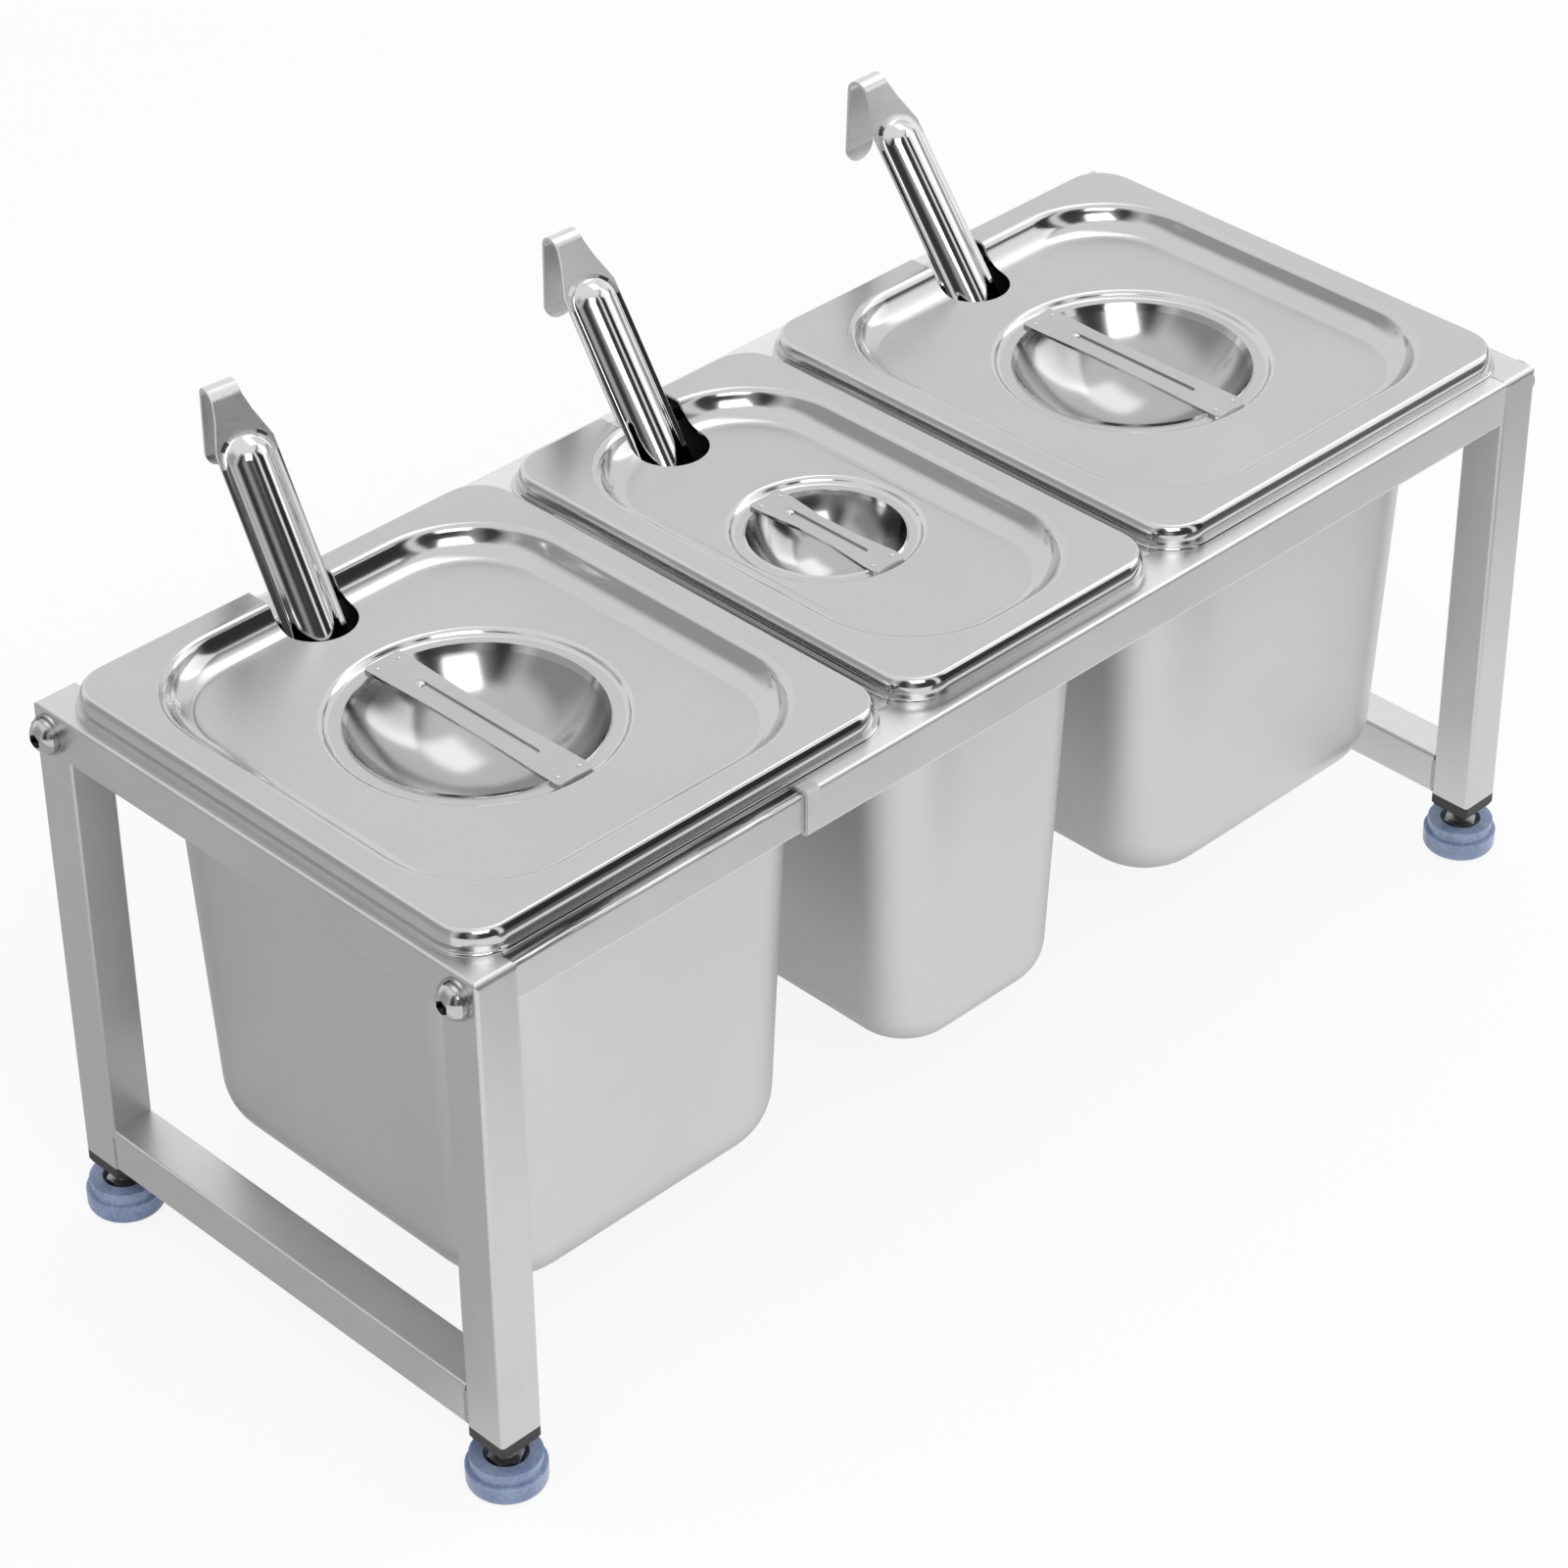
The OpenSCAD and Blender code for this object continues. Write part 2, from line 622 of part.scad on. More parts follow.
dome_up = 2.5;
channel_top = ladle_l + dome_up - channel_w / 2;
channel_foot = 22;
module ladle() {
  edge = handle_w / 2;
  bend_z = ladle_l + neck_l;
  bowl_r = ladle_bowl_d / 2;
  half_line = concat(channel_line(-90, 6), [[edge, -ladle_t]]);
  full_line = concat([[-edge, -ladle_t]], channel_line(-90 - channel_a, 12), [[edge, -ladle_t]]);
  color([0.8, 0.8, 0.8]) union() {
    translate([0, 0, channel_foot]) linear_extrude(channel_top - channel_foot)
      polygon(bent_sheet(full_line, ladle_t));
    // Round ends of the half tube
    for (e = [[channel_top, 180], [channel_foot, 0]]) translate([0, 0, e[0]])
      rotate([-90, 0, 0]) rotate([0, 0, e[1]]) rotate_extrude(angle = 180)
        polygon(bent_sheet(half_line, ladle_t, true));
    // Flat neck above the shoulder, lapped onto the half tube's flat edges
    rotate([90, 0, 0]) linear_extrude(ladle_t) difference() {
      polygon([[-edge, channel_top - lap], [edge, channel_top - lap], [edge, ladle_l],
        [neck_w / 2, bend_z], [-neck_w / 2, bend_z], [-edge, ladle_l]]);
      translate([0, channel_top]) tube_end(flat_r, -1);
    }
    translate([0, 0, bend_z]) hook();
    // Flat foot of the handle, joined to the bowl's wall
    rotate([90, 0, 0]) linear_extrude(ladle_t) difference() {
      translate([-edge, -foot_l]) square([handle_w, channel_foot + foot_l + lap]);
      translate([0, channel_foot]) tube_end(flat_r, 1);
    }
    translate([0, -bowl_r, 0]) ladle_bowl(bowl_r);
  }
}

// Bowl with a straight wall at its rim and a round bottom
module ladle_bowl(r) {
  inner = r - bowl_wall;
  ball = ball_r(inner, ladle_bowl_h - bowl_straight);
  line = concat([[inner, 0]],
    arc([0, ball - ladle_bowl_h], ball, asin(inner / ball) - 90, -90, dish_steps));
  rotate_extrude() polygon(bent_sheet(line, bowl_wall, true));
}

// Bend over the back and the hanging strip with its round tip
hook_turn = 140;
module hook() {
  tip = hook_tip_w / 2;
  translate([0, hook_r - ladle_t / 2, 0]) {
    rotate([0, 90, 0]) rotate([0, 0, 270 - hook_turn]) rotate_extrude(angle = hook_turn)
      translate([hook_r - ladle_t / 2, -neck_w / 2]) square([ladle_t, neck_w]);
    rotate([-hook_turn, 0, 0]) translate([0, ladle_t / 2 - hook_r, 0]) rotate([90, 0, 0])
      linear_extrude(ladle_t) union() {
        polygon([[-neck_w / 2, 0], [neck_w / 2, 0], [tip, hook_l - tip], [-tip, hook_l - tip]]);
        translate([0, hook_l - tip]) circle(tip);
      }
  }
}

// Directions of a leaning ladle: up its handle, and across it
function up_dir(i) = let(s = side_lean[i], c = cos(s))
  [sin(s), c * sin(lean[i]), c * cos(lean[i])];
function across_dir(i) = let(s = side_lean[i], t = twist[i], a = -cos(t) * sin(s))
  [cos(t) * cos(s), -sin(t) * cos(lean[i]) + a * sin(lean[i]),
   sin(t) * sin(lean[i]) + a * cos(lean[i])];

// The handle's back leans on the bend of the pan's mouth, clear of it by the seat gap
function mouth_y(i) =
  y_mid + rim_d / 2 - (i == 1 ? small_inset : large_inset) - sheet + mouth_bend;
function handle_y(i) = let(u = up_dir(i), v = across_dir(i), m = norm([u[1], u[2]]),
  side = handle_w / 2 * abs(v[1] * u[2] - v[2] * u[1]))
  mouth_y(i) - ((mouth_bend + seat_gap) * m + side - mouth_bend * u[1]) / u[2];

module placed_ladle(i) {
  u = up_dir(i);
  at = [pan_x[i] + handle_off[i], handle_y(i), rim_z] - (ladle_l - shoulder_up[i]) * u;
  translate(at) rotate([-lean[i], 0, 0]) rotate([0, side_lean[i], 0]) rotate([0, 0, -twist[i]])
    ladle();
}

leg(0, 0, 1);  // left_front_leg
leg(0, y_back, -1);  // left_back_leg
top_crossbar(0);  // left_top_crossbar
bottom_crossbar(0);  // left_bottom_crossbar
leg(x_right, 0, 1);  // right_front_leg
leg(x_right, y_back, -1);  // right_back_leg
top_crossbar(x_right);  // right_top_crossbar
bottom_crossbar(x_right);  // right_bottom_crossbar
inner_rail(0);  // front_inner_rail
inner_rail(y_back);  // back_inner_rail
outer_rail(0);  // front_outer_rail
outer_rail(y_back);  // back_outer_rail
rail_collar(0);  // front_rail_collar
rail_collar(y_back);  // back_rail_collar
rail_inserts(tube / 2, 1, left_insert);  // left_rail_inserts
rail_inserts(x_right - tube / 2, -1, right_insert);  // right_rail_inserts
bolts(0, -1);  // left_bolts
bolts(x_right, 1);  // right_bolts
spring_washers(0, -1);  // left_spring_washers
spring_washers(x_right, 1);  // right_spring_washers
flat_washers(0, -1);  // left_flat_washers
flat_washers(x_right, 1);  // right_flat_washers
leg_plug(0, 0);  // left_front_plug
leg_plug(0, y_back);  // left_back_plug
leg_plug(x_right, 0);  // right_front_plug
leg_plug(x_right, y_back);  // right_back_plug
foot_stud(0, 0);  // left_front_stud
foot_stud(0, y_back);  // left_back_stud
foot_stud(x_right, 0);  // right_front_stud
foot_stud(x_right, y_back);  // right_back_stud
foot_pad(0, 0);  // left_front_pad
foot_pad(0, y_back);  // left_back_pad
foot_pad(x_right, 0);  // right_front_pad
foot_pad(x_right, y_back);  // right_back_pad
placed_pan(0);  // left_pan
placed_pan(1);  // middle_pan
placed_pan(2);  // right_pan
placed_lid(0);  // left_lid
placed_lid(1);  // middle_lid
placed_lid(2);  // right_lid
lid_strap(0);  // left_lid_strap
lid_strap(1);  // middle_lid_strap
lid_strap(2);  // right_lid_strap
placed_ladle(0);  // left_ladle
placed_ladle(1);  // middle_ladle
placed_ladle(2);  // right_ladle
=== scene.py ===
"""Condiment holder: steel rack, three food pans with notched lids, and three ladles."""
import logging
import math
from dataclasses import dataclass, field
from enum import Enum
from typing import Callable, Optional, Sequence, Union

import bmesh
import bpy
from mathutils import Matrix, Vector


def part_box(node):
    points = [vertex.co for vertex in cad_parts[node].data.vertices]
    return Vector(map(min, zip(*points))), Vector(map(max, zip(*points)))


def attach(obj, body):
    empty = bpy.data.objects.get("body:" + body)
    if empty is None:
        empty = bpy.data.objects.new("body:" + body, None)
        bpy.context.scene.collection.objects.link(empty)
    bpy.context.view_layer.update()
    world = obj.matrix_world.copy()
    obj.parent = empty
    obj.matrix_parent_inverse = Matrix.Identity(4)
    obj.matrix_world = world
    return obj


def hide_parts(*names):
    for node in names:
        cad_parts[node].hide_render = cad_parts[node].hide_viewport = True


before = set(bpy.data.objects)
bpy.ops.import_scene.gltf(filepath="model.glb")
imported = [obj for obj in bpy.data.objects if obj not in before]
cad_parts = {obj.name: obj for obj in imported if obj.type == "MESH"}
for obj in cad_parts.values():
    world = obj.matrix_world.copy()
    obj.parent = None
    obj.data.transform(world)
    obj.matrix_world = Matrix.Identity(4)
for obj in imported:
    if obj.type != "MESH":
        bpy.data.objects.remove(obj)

LOG = logging.getLogger("condiment_holder")
MM = 0.001
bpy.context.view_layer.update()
Point = tuple[float, float]
Place = tuple[float, float, float]
Number = Union[float, int, "Sock"]
UP = Vector((0, 0, 1))

# The short flat at a profile's start or end, and how near two heights count as one.
FLAT = 1 * MM
TOUCH = 1e-6


class Sock:
    """A node's output, or a number, on which maths is written as Python expressions."""

    def __init__(self, tree: bpy.types.NodeTree, value: object) -> None:
        """Keep the node tree and the socket."""
        self.tree = tree
        self.value = value

    def _math(self, operation: str, *values: Number, clamp: bool = False) -> "Sock":
        """Add a Math node.

        Args:
            operation: the Math node's operation.
            values: sockets or numbers, in order.
            clamp: whether the result is kept within 0 and 1.

        Returns:
            The node's result.
        """
        node = self.tree.nodes.new("ShaderNodeMath")
        node.operation = operation
        node.use_clamp = clamp
        for slot, value in zip(node.inputs, values):
            if isinstance(value, Sock):
                self.tree.links.new(value.value, slot)
            else:
                slot.default_value = float(value)
        return Sock(self.tree, node.outputs[0])

    def __add__(self, other: Number) -> "Sock":
        """Return self + other."""
        return self._math("ADD", self, other)

    def __sub__(self, other: Number) -> "Sock":
        """Return self - other."""
        return self._math("SUBTRACT", self, other)

    def __mul__(self, other: Number) -> "Sock":
        """Return self * other."""
        return self._math("MULTIPLY", self, other)

    def __neg__(self) -> "Sock":
        """Return -self."""
        return self._math("MULTIPLY", self, -1.0)

    def __rsub__(self, other: Number) -> "Sock":
        """Return other - self."""
        return self._math("SUBTRACT", other, self)

    __radd__ = __add__

    def clamped(self) -> "Sock":
        """Return the value kept within 0 and 1."""
        return self._math("ADD", self, 0.0, clamp=True)

    def above(self, low: float, high: float) -> "Sock":
        """Return a mask that rises from 0 at low to 1 at high."""
        return ((self - low) * (1.0 / (high - low))).clamped()

    def peak(self, middle: float, half: float) -> "Sock":
        """Return a mask that is 1 at middle and falls to 0 a half-width away."""
        return (1.0 - self._math("ABSOLUTE", self - middle) * (1.0 / half)).clamped()


class Graph:
    """A node tree, to which nodes are added one at a time."""

    def __init__(self, tree: bpy.types.NodeTree) -> None:
        """Keep the node tree."""
        self.tree = tree

    def add(self, kind: str, settings: Optional[dict] = None, inputs: Optional[dict] = None,
            output: Union[int, str] = 0) -> Sock:
        """Add a node, its settings before its sockets.

        Args:
            kind: the node's type without the word ShaderNode.
            settings: the node's own settings.
            inputs: values or links, by a socket's name or number.
            output: the name or number of the output that is wanted.

        Returns:
            That output.
        """
        node = self.tree.nodes.new("ShaderNode" + kind)
        for key, value in (settings or {}).items():
            setattr(node, key, value)
        for key, value in (inputs or {}).items():
            self.feed(node.inputs[key], value)
        return Sock(self.tree, node.outputs[output])

    def feed(self, slot: bpy.types.NodeSocket, value: object) -> None:
        """Link or set one input socket."""
        if isinstance(value, Sock):
            self.tree.links.new(value.value, slot)
        else:
            slot.default_value = value

    def axes(self, vector: Sock) -> tuple[Sock, Sock, Sock]:
        """Split a vector into its three values."""
        first = self.add("SeparateXYZ", None, {0: vector})
        return tuple(Sock(self.tree, out) for out in first.value.node.outputs)

    def ray(self, kind: str) -> Sock:
        """Return 1 for rays of one kind."""
        return self.add("LightPath", output=f"Is {kind} Ray")

    def seen(self) -> Sock:
        """Return 1 for rays that show the background: the camera's, gloss and glass."""
        return (self.ray("Camera") + self.ray("Glossy") + self.ray("Transmission")).clamped()


class Shader(Graph):
    """A material's nodes."""

    def __init__(self, name: str) -> None:
        """Start a material with a Principled shader of its own."""
        self.material = bpy.data.materials.new(name)
        self.material.use_nodes = True
        super().__init__(self.material.node_tree)
        self.surface = self.tree.nodes["Principled BSDF"]

    def set(self, **sockets: object) -> None:
        """Link or set sockets of the Principled shader, with _ for a space in a name."""
        for key, value in sockets.items():
            self.feed(self.surface.inputs[key.replace("_", " ")], value)

    def noise(self, size: float, stretch: Sequence[float] = (1, 1, 1), detail: float = 3.0) -> Sock:
        """Return noise from 0 to 1.

        Args:
            size: the size of its grain in metres.
            stretch: how many times longer the grain is along X, Y and Z.
            detail: the octaves of finer grain.

        Returns:
            The noise's value.
        """
        place = self.add("TexCoord", output="Object")
        scale = tuple(1.0 / (size * s) for s in stretch)
        spot = self.add("Mapping", None, {"Vector": place, "Scale": scale})
        return self.add("TexNoise", None, {"Vector": spot, "Scale": 1.0, "Detail": detail})

    def blend(self, mask: Sock, low: object, high: object) -> Sock:
        """Mix two colours by a mask."""
        colors = [c if isinstance(c, Sock) else (*c, 1.0) for c in (low, high)]
        return self.add("Mix", {"data_type": "RGBA"}, {0: mask, 6: colors[0], 7: colors[1]}, 2)

    def bump(self, height: Sock, depth: float) -> None:
        """Feed a height into the shader's normal.

        Args:
            height: the height, from 0 to about 1.
            depth: how many metres a height of 1 stands for.
        """
        relief = {"Height": height, "Distance": depth, "Strength": 1.0}
        self.set(Normal=self.add("Bump", None, relief))


class Grain(Enum):
    """Direction of a brushed finish, as the stretch along X, Y and Z."""

    ALONG_X = (40, 1, 1)
    ALONG_Y = (1, 40, 1)
    ALONG_Z = (1, 1, 40)
    CLOUD = (1, 1, 1)


# Each span is where a mask starts to show and where it is full.
SCRATCH_SPAN = (0.6, 0.78)
TONE_SPAN = (0.2, 0.8)
STREAK_SPAN = (0.51, 0.57)
FACING_UP_SPAN = (0.3, 0.7)
CREVICE_SHADE_SPAN = (0.45, 0.75)
MOTTLE_SPAN = (0.35, 0.65)

# The drawing marks are real; their near-black tone on faces that point up is painted dark reflection.
STREAK_DARK_REFLECTION_TONE = (0.03, 0.03, 0.03)
# Near-black painted shade at the bottom of recesses.
CREVICE_SHADE_TONE = (0.008, 0.008, 0.008)
WARM_BLUE = 0.99
SCRATCH_SHADE = 0.3
SCRATCH_RELIEF = 0.5
STREAK_POLISH = 0.15


@dataclass(frozen=True)
class Steel:
    """Stainless steel, from satin to mirror.

    Its tone runs from low to high, its roughness over rough_span below and above rough.
    """

    name: str
    low: float
    high: float
    rough: float
    rough_span: float = 0.06
    grain: Grain = Grain.CLOUD
    grain_size: float = 0.6 * MM
    grain_depth: float = 2e-6
    cloud_size: float = 30 * MM
    grain_share: float = 0.12
    top_marks_and_reflection: float = 0.0
    crevice_shade: float = 0.0

    def make(self) -> bpy.types.Material:
        """Build the material.

        Returns:
            The new material.
        """
        shader = Shader(self.name)
        grain = shader.noise(self.grain_size, self.grain.value)
        cloud = shader.noise(self.cloud_size, detail=4.0)
        fine = shader.noise(self.grain_size * 0.5, self.grain.value, detail=6.0)
        scratch = fine.above(*SCRATCH_SPAN)
        tone = (grain * self.grain_share + cloud * (1.0 - self.grain_share)
                - scratch * self.grain_share * SCRATCH_SHADE).above(*TONE_SPAN)
        color = shader.blend(tone, *((t, t, t * WARM_BLUE) for t in (self.low, self.high)))
        rough = grain * self.rough_span + cloud * self.rough_span + (self.rough - self.rough_span)
        # Painted dark reflection: real drawing marks, darkened nearly black only where the faces point
        # up.
        if self.top_marks_and_reflection:
            marks_and_reflection = self._marks_and_dark_reflection(shader)
            color = shader.blend(marks_and_reflection, color, STREAK_DARK_REFLECTION_TONE)
            rough = rough - marks_and_reflection * STREAK_POLISH
        # Painted shade: ambient occlusion darkens the base colour nearly black in recesses, such as the
        # bolts' sockets.
        if self.crevice_shade:
            opening = shader.add("AmbientOcclusion", {"samples": 8}, {"Distance": self.crevice_shade}, "AO")
            color = shader.blend(opening.above(*CREVICE_SHADE_SPAN), CREVICE_SHADE_TONE, color)
        shader.set(Base_Color=color, Metallic=1.0, Roughness=rough.clamped())
        shader.bump(grain + scratch * SCRATCH_RELIEF, self.grain_depth)
        return shader.material

    def _marks_and_dark_reflection(self, shader: Shader) -> Sock:
        """Return a mask of drawing marks along X, darkened as painted dark reflection on the upper
        faces only.
        """
        _, _, up = shader.axes(shader.add("NewGeometry", output="Normal"))
        fine = shader.noise(0.7 * MM, (26, 1, 1), detail=5.0)
        patch = shader.noise(20 * MM, (2, 1, 1), detail=2.0)
        marks = (fine * 0.7 + patch * 0.3).above(*STREAK_SPAN)
        return marks * up.above(*FACING_UP_SPAN) * self.top_marks_and_reflection


@dataclass(frozen=True)
class Plastic:
    """Moulded plastic or rubber, plain or translucent."""

    name: str
    dark: tuple[float, float, float]
    pale: tuple[float, float, float]
    rough: float = 0.4
    glow_through: float = 0.0
    rough_span: float = 0.12
    coat: float = 0.15
    speck_size: float = 1.2 * MM
    speck_depth: float = 2e-5
    glow_depth: float = 6 * MM

    def make(self) -> bpy.types.Material:
        """Build the material.

        Returns:
            The new material.
        """
        shader = Shader(self.name)
        cloud = shader.noise(self.speck_size * 8, detail=3.0)
        speck = shader.noise(self.speck_size, detail=5.0)
        mask = (cloud * 0.6 + speck * 0.4).above(*MOTTLE_SPAN)
        rough = self.rough + speck * self.rough_span - self.rough_span / 2
        shader.set(Base_Color=shader.blend(mask, self.dark, self.pale), Metallic=0.0,
                   Roughness=rough.clamped(), Coat_Weight=self.coat)
        if self.glow_through:
            shader.set(Subsurface_Weight=self.glow_through, Subsurface_Radius=(0.2, 0.5, 1.0),
                       Subsurface_Scale=self.glow_depth)
        shader.bump(speck, self.speck_depth)
        return shader.material


# Steel: its name, lowest and highest tone, roughness, and the roughness's span.
SATIN_X = Steel("satin_along_x", 0.74, 0.82, 0.42, grain=Grain.ALONG_X, grain_share=0.3)
SATIN_Y = Steel("satin_along_y", 0.60, 0.70, 0.38, grain=Grain.ALONG_Y, grain_share=0.4)
SATIN_Z = Steel("satin_along_z", 0.60, 0.70, 0.38, grain=Grain.ALONG_Z, grain_share=0.4)
# The inner rails' upper faces carry drawing marks with painted dark reflection.
STREAKED = Steel("streaked_inner_rail", 0.72, 0.82, 0.40, grain=Grain.ALONG_X, top_marks_and_reflection=0.6)
LID_SATIN = Steel("lid_satin", 0.52, 0.57, 0.27, 0.02, cloud_size=50 * MM, grain_depth=5e-8)
STRAP_SATIN = Steel("strap_satin", 0.49, 0.55, 0.24, 0.03, cloud_size=20 * MM, grain_depth=2e-7)
PAN_SATIN = Steel("pan_satin", 0.64, 0.70, 0.40, 0.03, cloud_size=60 * MM, grain_depth=6e-7)
BRIGHT = Steel("bright_bend", 0.60, 0.65, 0.11, 0.01, cloud_size=20 * MM, grain_depth=2e-7)
WALL_SOFT = Steel("recess_wall", 0.56, 0.61, 0.14, 0.02, cloud_size=40 * MM, grain_depth=3e-7)
BOWL_BRIGHT = Steel("bowl_polish", 0.42, 0.50, 0.16, 0.02, cloud_size=30 * MM, grain_depth=3e-7)
HANDLE_BRIGHT = Steel("handle_polish", 0.62, 0.70, 0.09, 0.02, cloud_size=10 * MM, grain_depth=5e-8)
NECK_SATIN = Steel("neck_satin", 0.62, 0.78, 0.25, grain=Grain.ALONG_X, grain_size=0.5 * MM,
                   grain_depth=1e-6, grain_share=0.6)
BOLT_STEEL = Steel("bolt_bright", 0.50, 0.62, 0.14, cloud_size=3 * MM, crevice_shade=3 * MM)
WASHER_STEEL = Steel("washer_plain", 0.36, 0.50, 0.28, cloud_size=3 * MM)
STUD_STEEL = Steel("stud_zinc", 0.22, 0.42, 0.32, cloud_size=3 * MM)
# Plastic: its name, darkest and palest colour, roughness, and how much light passes into it.
COLLAR = Plastic("collar_off_white", (0.46, 0.46, 0.45), (0.56, 0.56, 0.54), 0.45)
BLACK_PLUG = Plastic("plug_black", (0.006, 0.006, 0.006), (0.015, 0.015, 0.015), 0.45)
BLUE_PAD = Plastic("pad_blue", (0.17, 0.22, 0.36), (0.31, 0.38, 0.54), 0.2, 0.35)


def deselect() -> None:
    """Deselect every object, out of edit mode."""
    if bpy.context.object and bpy.context.object.mode != "OBJECT":
        bpy.ops.object.mode_set(mode="OBJECT")
    bpy.ops.object.select_all(action="DESELECT")


def choose(*objects: bpy.types.Object) -> bpy.types.Object:
    """Select only these objects and make the first one active.

    Args:
        objects: the objects, the active one first.

    Returns:
        The active object.
    """
    deselect()
    for obj in objects:
        obj.select_set(True)
    bpy.context.view_layer.objects.active = objects[0]
    return objects[0]


def edit(obj: bpy.types.Object) -> None:
    """Go into edit mode with all of one object selected."""
    choose(obj)
    bpy.ops.object.mode_set(mode="EDIT")
    bpy.ops.mesh.select_all(action="SELECT")


def leave_edit() -> None:
    """Go back to object mode."""
    bpy.ops.object.mode_set(mode="OBJECT")


def node_box(node: str) -> tuple[Vector, Vector]:
    """Return the lowest and highest corners of a node's box."""
    low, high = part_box(node)
    return Vector(low), Vector(high)


def arc(center: Point, radius: float, start: float, end: float, steps: int) -> list[Point]:
    """Return points along an arc, with angles in degrees."""
    angles = [math.radians(start + (end - start) * i / steps) for i in range(steps + 1)]
    return [(center[0] + radius * math.cos(a), center[1] + radius * math.sin(a)) for a in angles]


def chain(name: str, points: Sequence[Sequence[float]]) -> bpy.types.Object:
    """Draw a line of edges by extruding one vertex from point to point.

    Args:
        name: the object's name.
        points: places in metres, in order.

    Returns:
        The object, in edit mode with all of it selected.
    """
    deselect()
    bpy.ops.mesh.primitive_plane_add(size=MM, location=(0, 0, 0))
    line = bpy.context.object
    line.name = name
    bpy.ops.object.mode_set(mode="EDIT")
    bpy.ops.mesh.select_mode(type="VERT")
    bpy.ops.mesh.select_all(action="SELECT")
    bpy.ops.mesh.merge(type="CENTER")
    bpy.ops.transform.translate(value=tuple(points[0]))
    for start, end in zip(points, points[1:]):
        step = Vector(end) - Vector(start)
        bpy.ops.mesh.extrude_vertices_move(TRANSFORM_OT_translate={"value": tuple(step)})
    bpy.ops.mesh.select_all(action="SELECT")
    return line


def pick_open_edges(obj: bpy.types.Object, test: Callable[[Vector], bool]) -> None:
    """Select the sheet's open edges whose two ends pass a test.

    Args:
        obj: the object in edit mode.
        test: takes a vertex's place.
    """
    bpy.ops.mesh.select_all(action="DESELECT")
    bpy.ops.mesh.select_mode(type="EDGE")
    mesh = bmesh.from_edit_mesh(obj.data)
    for edge in mesh.edges:
        if len(edge.link_faces) < 2 and all(test(v.co) for v in edge.verts):
            edge.select_set(True)
    bmesh.update_edit_mesh(obj.data)


def join(*objects: bpy.types.Object) -> bpy.types.Object:
    """Join objects into the first one."""
    first = choose(*objects)
    bpy.ops.object.join()
    return first


def weld(obj: bpy.types.Object, gap: float = 0.00002) -> None:
    """Merge vertices that stand on each other."""
    edit(obj)
    bpy.ops.mesh.remove_doubles(threshold=gap)
    leave_edit()


def face_towards(obj: bpy.types.Object, near: Vector, way: Vector) -> None:
    """Make a sheet's normals agree, with the face nearest a point looking one way.

    Args:
        obj: the sheet.
        near: the point, in metres.
        way: the direction that its normal should have.
    """
    edit(obj)
    bpy.ops.mesh.normals_make_consistent(inside=False)
    mesh = bmesh.from_edit_mesh(obj.data)
    mesh.normal_update()
    face = min(mesh.faces, key=lambda f: (f.calc_center_median() - near).length)
    if face.normal.dot(way) < 0:
        bpy.ops.mesh.flip_normals()
    leave_edit()


def finish_with(obj: bpy.types.Object, kind: str, **settings: object) -> None:
    """Add one modifier and apply it."""
    choose(obj)
    modifier = obj.modifiers.new(kind.lower(), kind)
    for key, value in settings.items():
        setattr(modifier, key, value)
    bpy.ops.object.modifier_apply(modifier=modifier.name)


def bevel(obj: bpy.types.Object, width: float, angle: float) -> None:
    """Round the edges that turn by more than an angle in degrees."""
    finish_with(obj, "BEVEL", width=width, segments=2, limit_method="ANGLE",
                angle_limit=math.radians(angle))


def move_to(obj: bpy.types.Object, place: Matrix) -> None:
    """Put an object in its place and keep that place in its mesh."""
    choose(obj)
    obj.matrix_world = place
    bpy.ops.object.transform_apply(location=True, rotation=True, scale=True)


def smooth(obj: bpy.types.Object, angle: float = 35.0) -> None:
    """Shade an object smooth, with creases above an angle in degrees."""
    choose(obj)
    bpy.ops.object.shade_smooth_by_angle(angle=math.radians(angle))


def sweep_round(name: str, profile: Sequence[Point], width: float, depth: float, radius: float,
                steps: int = 12) -> bpy.types.Object:
    """Carry a profile round a rounded rectangle by extruding and spinning it.

    Args:
        name: the object's name.
        profile: points as distance out from the rectangle's edge, and height.
        width: the rectangle along X.
        depth: the rectangle along Y.
        radius: the rectangle's corner radius.
        steps: segments at each corner.

    Returns:
        The swept sheet, in object mode.
    """
    x_mid, y_mid = width / 2 - radius, depth / 2 - radius
    obj = chain(name, [(width / 2 + x, -y_mid, z) for x, z in profile])
    sides = [((0, 2 * y_mid, 0), (x_mid, y_mid)), ((-2 * x_mid, 0, 0), (-x_mid, y_mid)),
             ((0, -2 * y_mid, 0), (-x_mid, -y_mid)), ((2 * x_mid, 0, 0), (x_mid, -y_mid))]
    for shift, center in sides:
        bpy.ops.mesh.extrude_edges_move(TRANSFORM_OT_translate={"value": shift})
        bpy.ops.mesh.spin(steps=steps, angle=-math.pi / 2, center=(*center, 0), axis=(0, 0, 1))
    leave_edit()
    weld(obj)
    return obj


def spin_full(name: str, profile: Sequence[Point], steps: int) -> bpy.types.Object:
    """Turn a profile of radius and height into a round sheet about Z.

    Args:
        name: the object's name.
        profile: points as radius and height.
        steps: segments round the circle.

    Returns:
        The sheet, in object mode.
    """
    obj = chain(name, [(r, 0, z) for r, z in profile])
    bpy.ops.mesh.spin(steps=steps, angle=2 * math.pi, center=(0, 0, 0), axis=(0, 0, 1))
    leave_edit()
    weld(obj)
    return obj


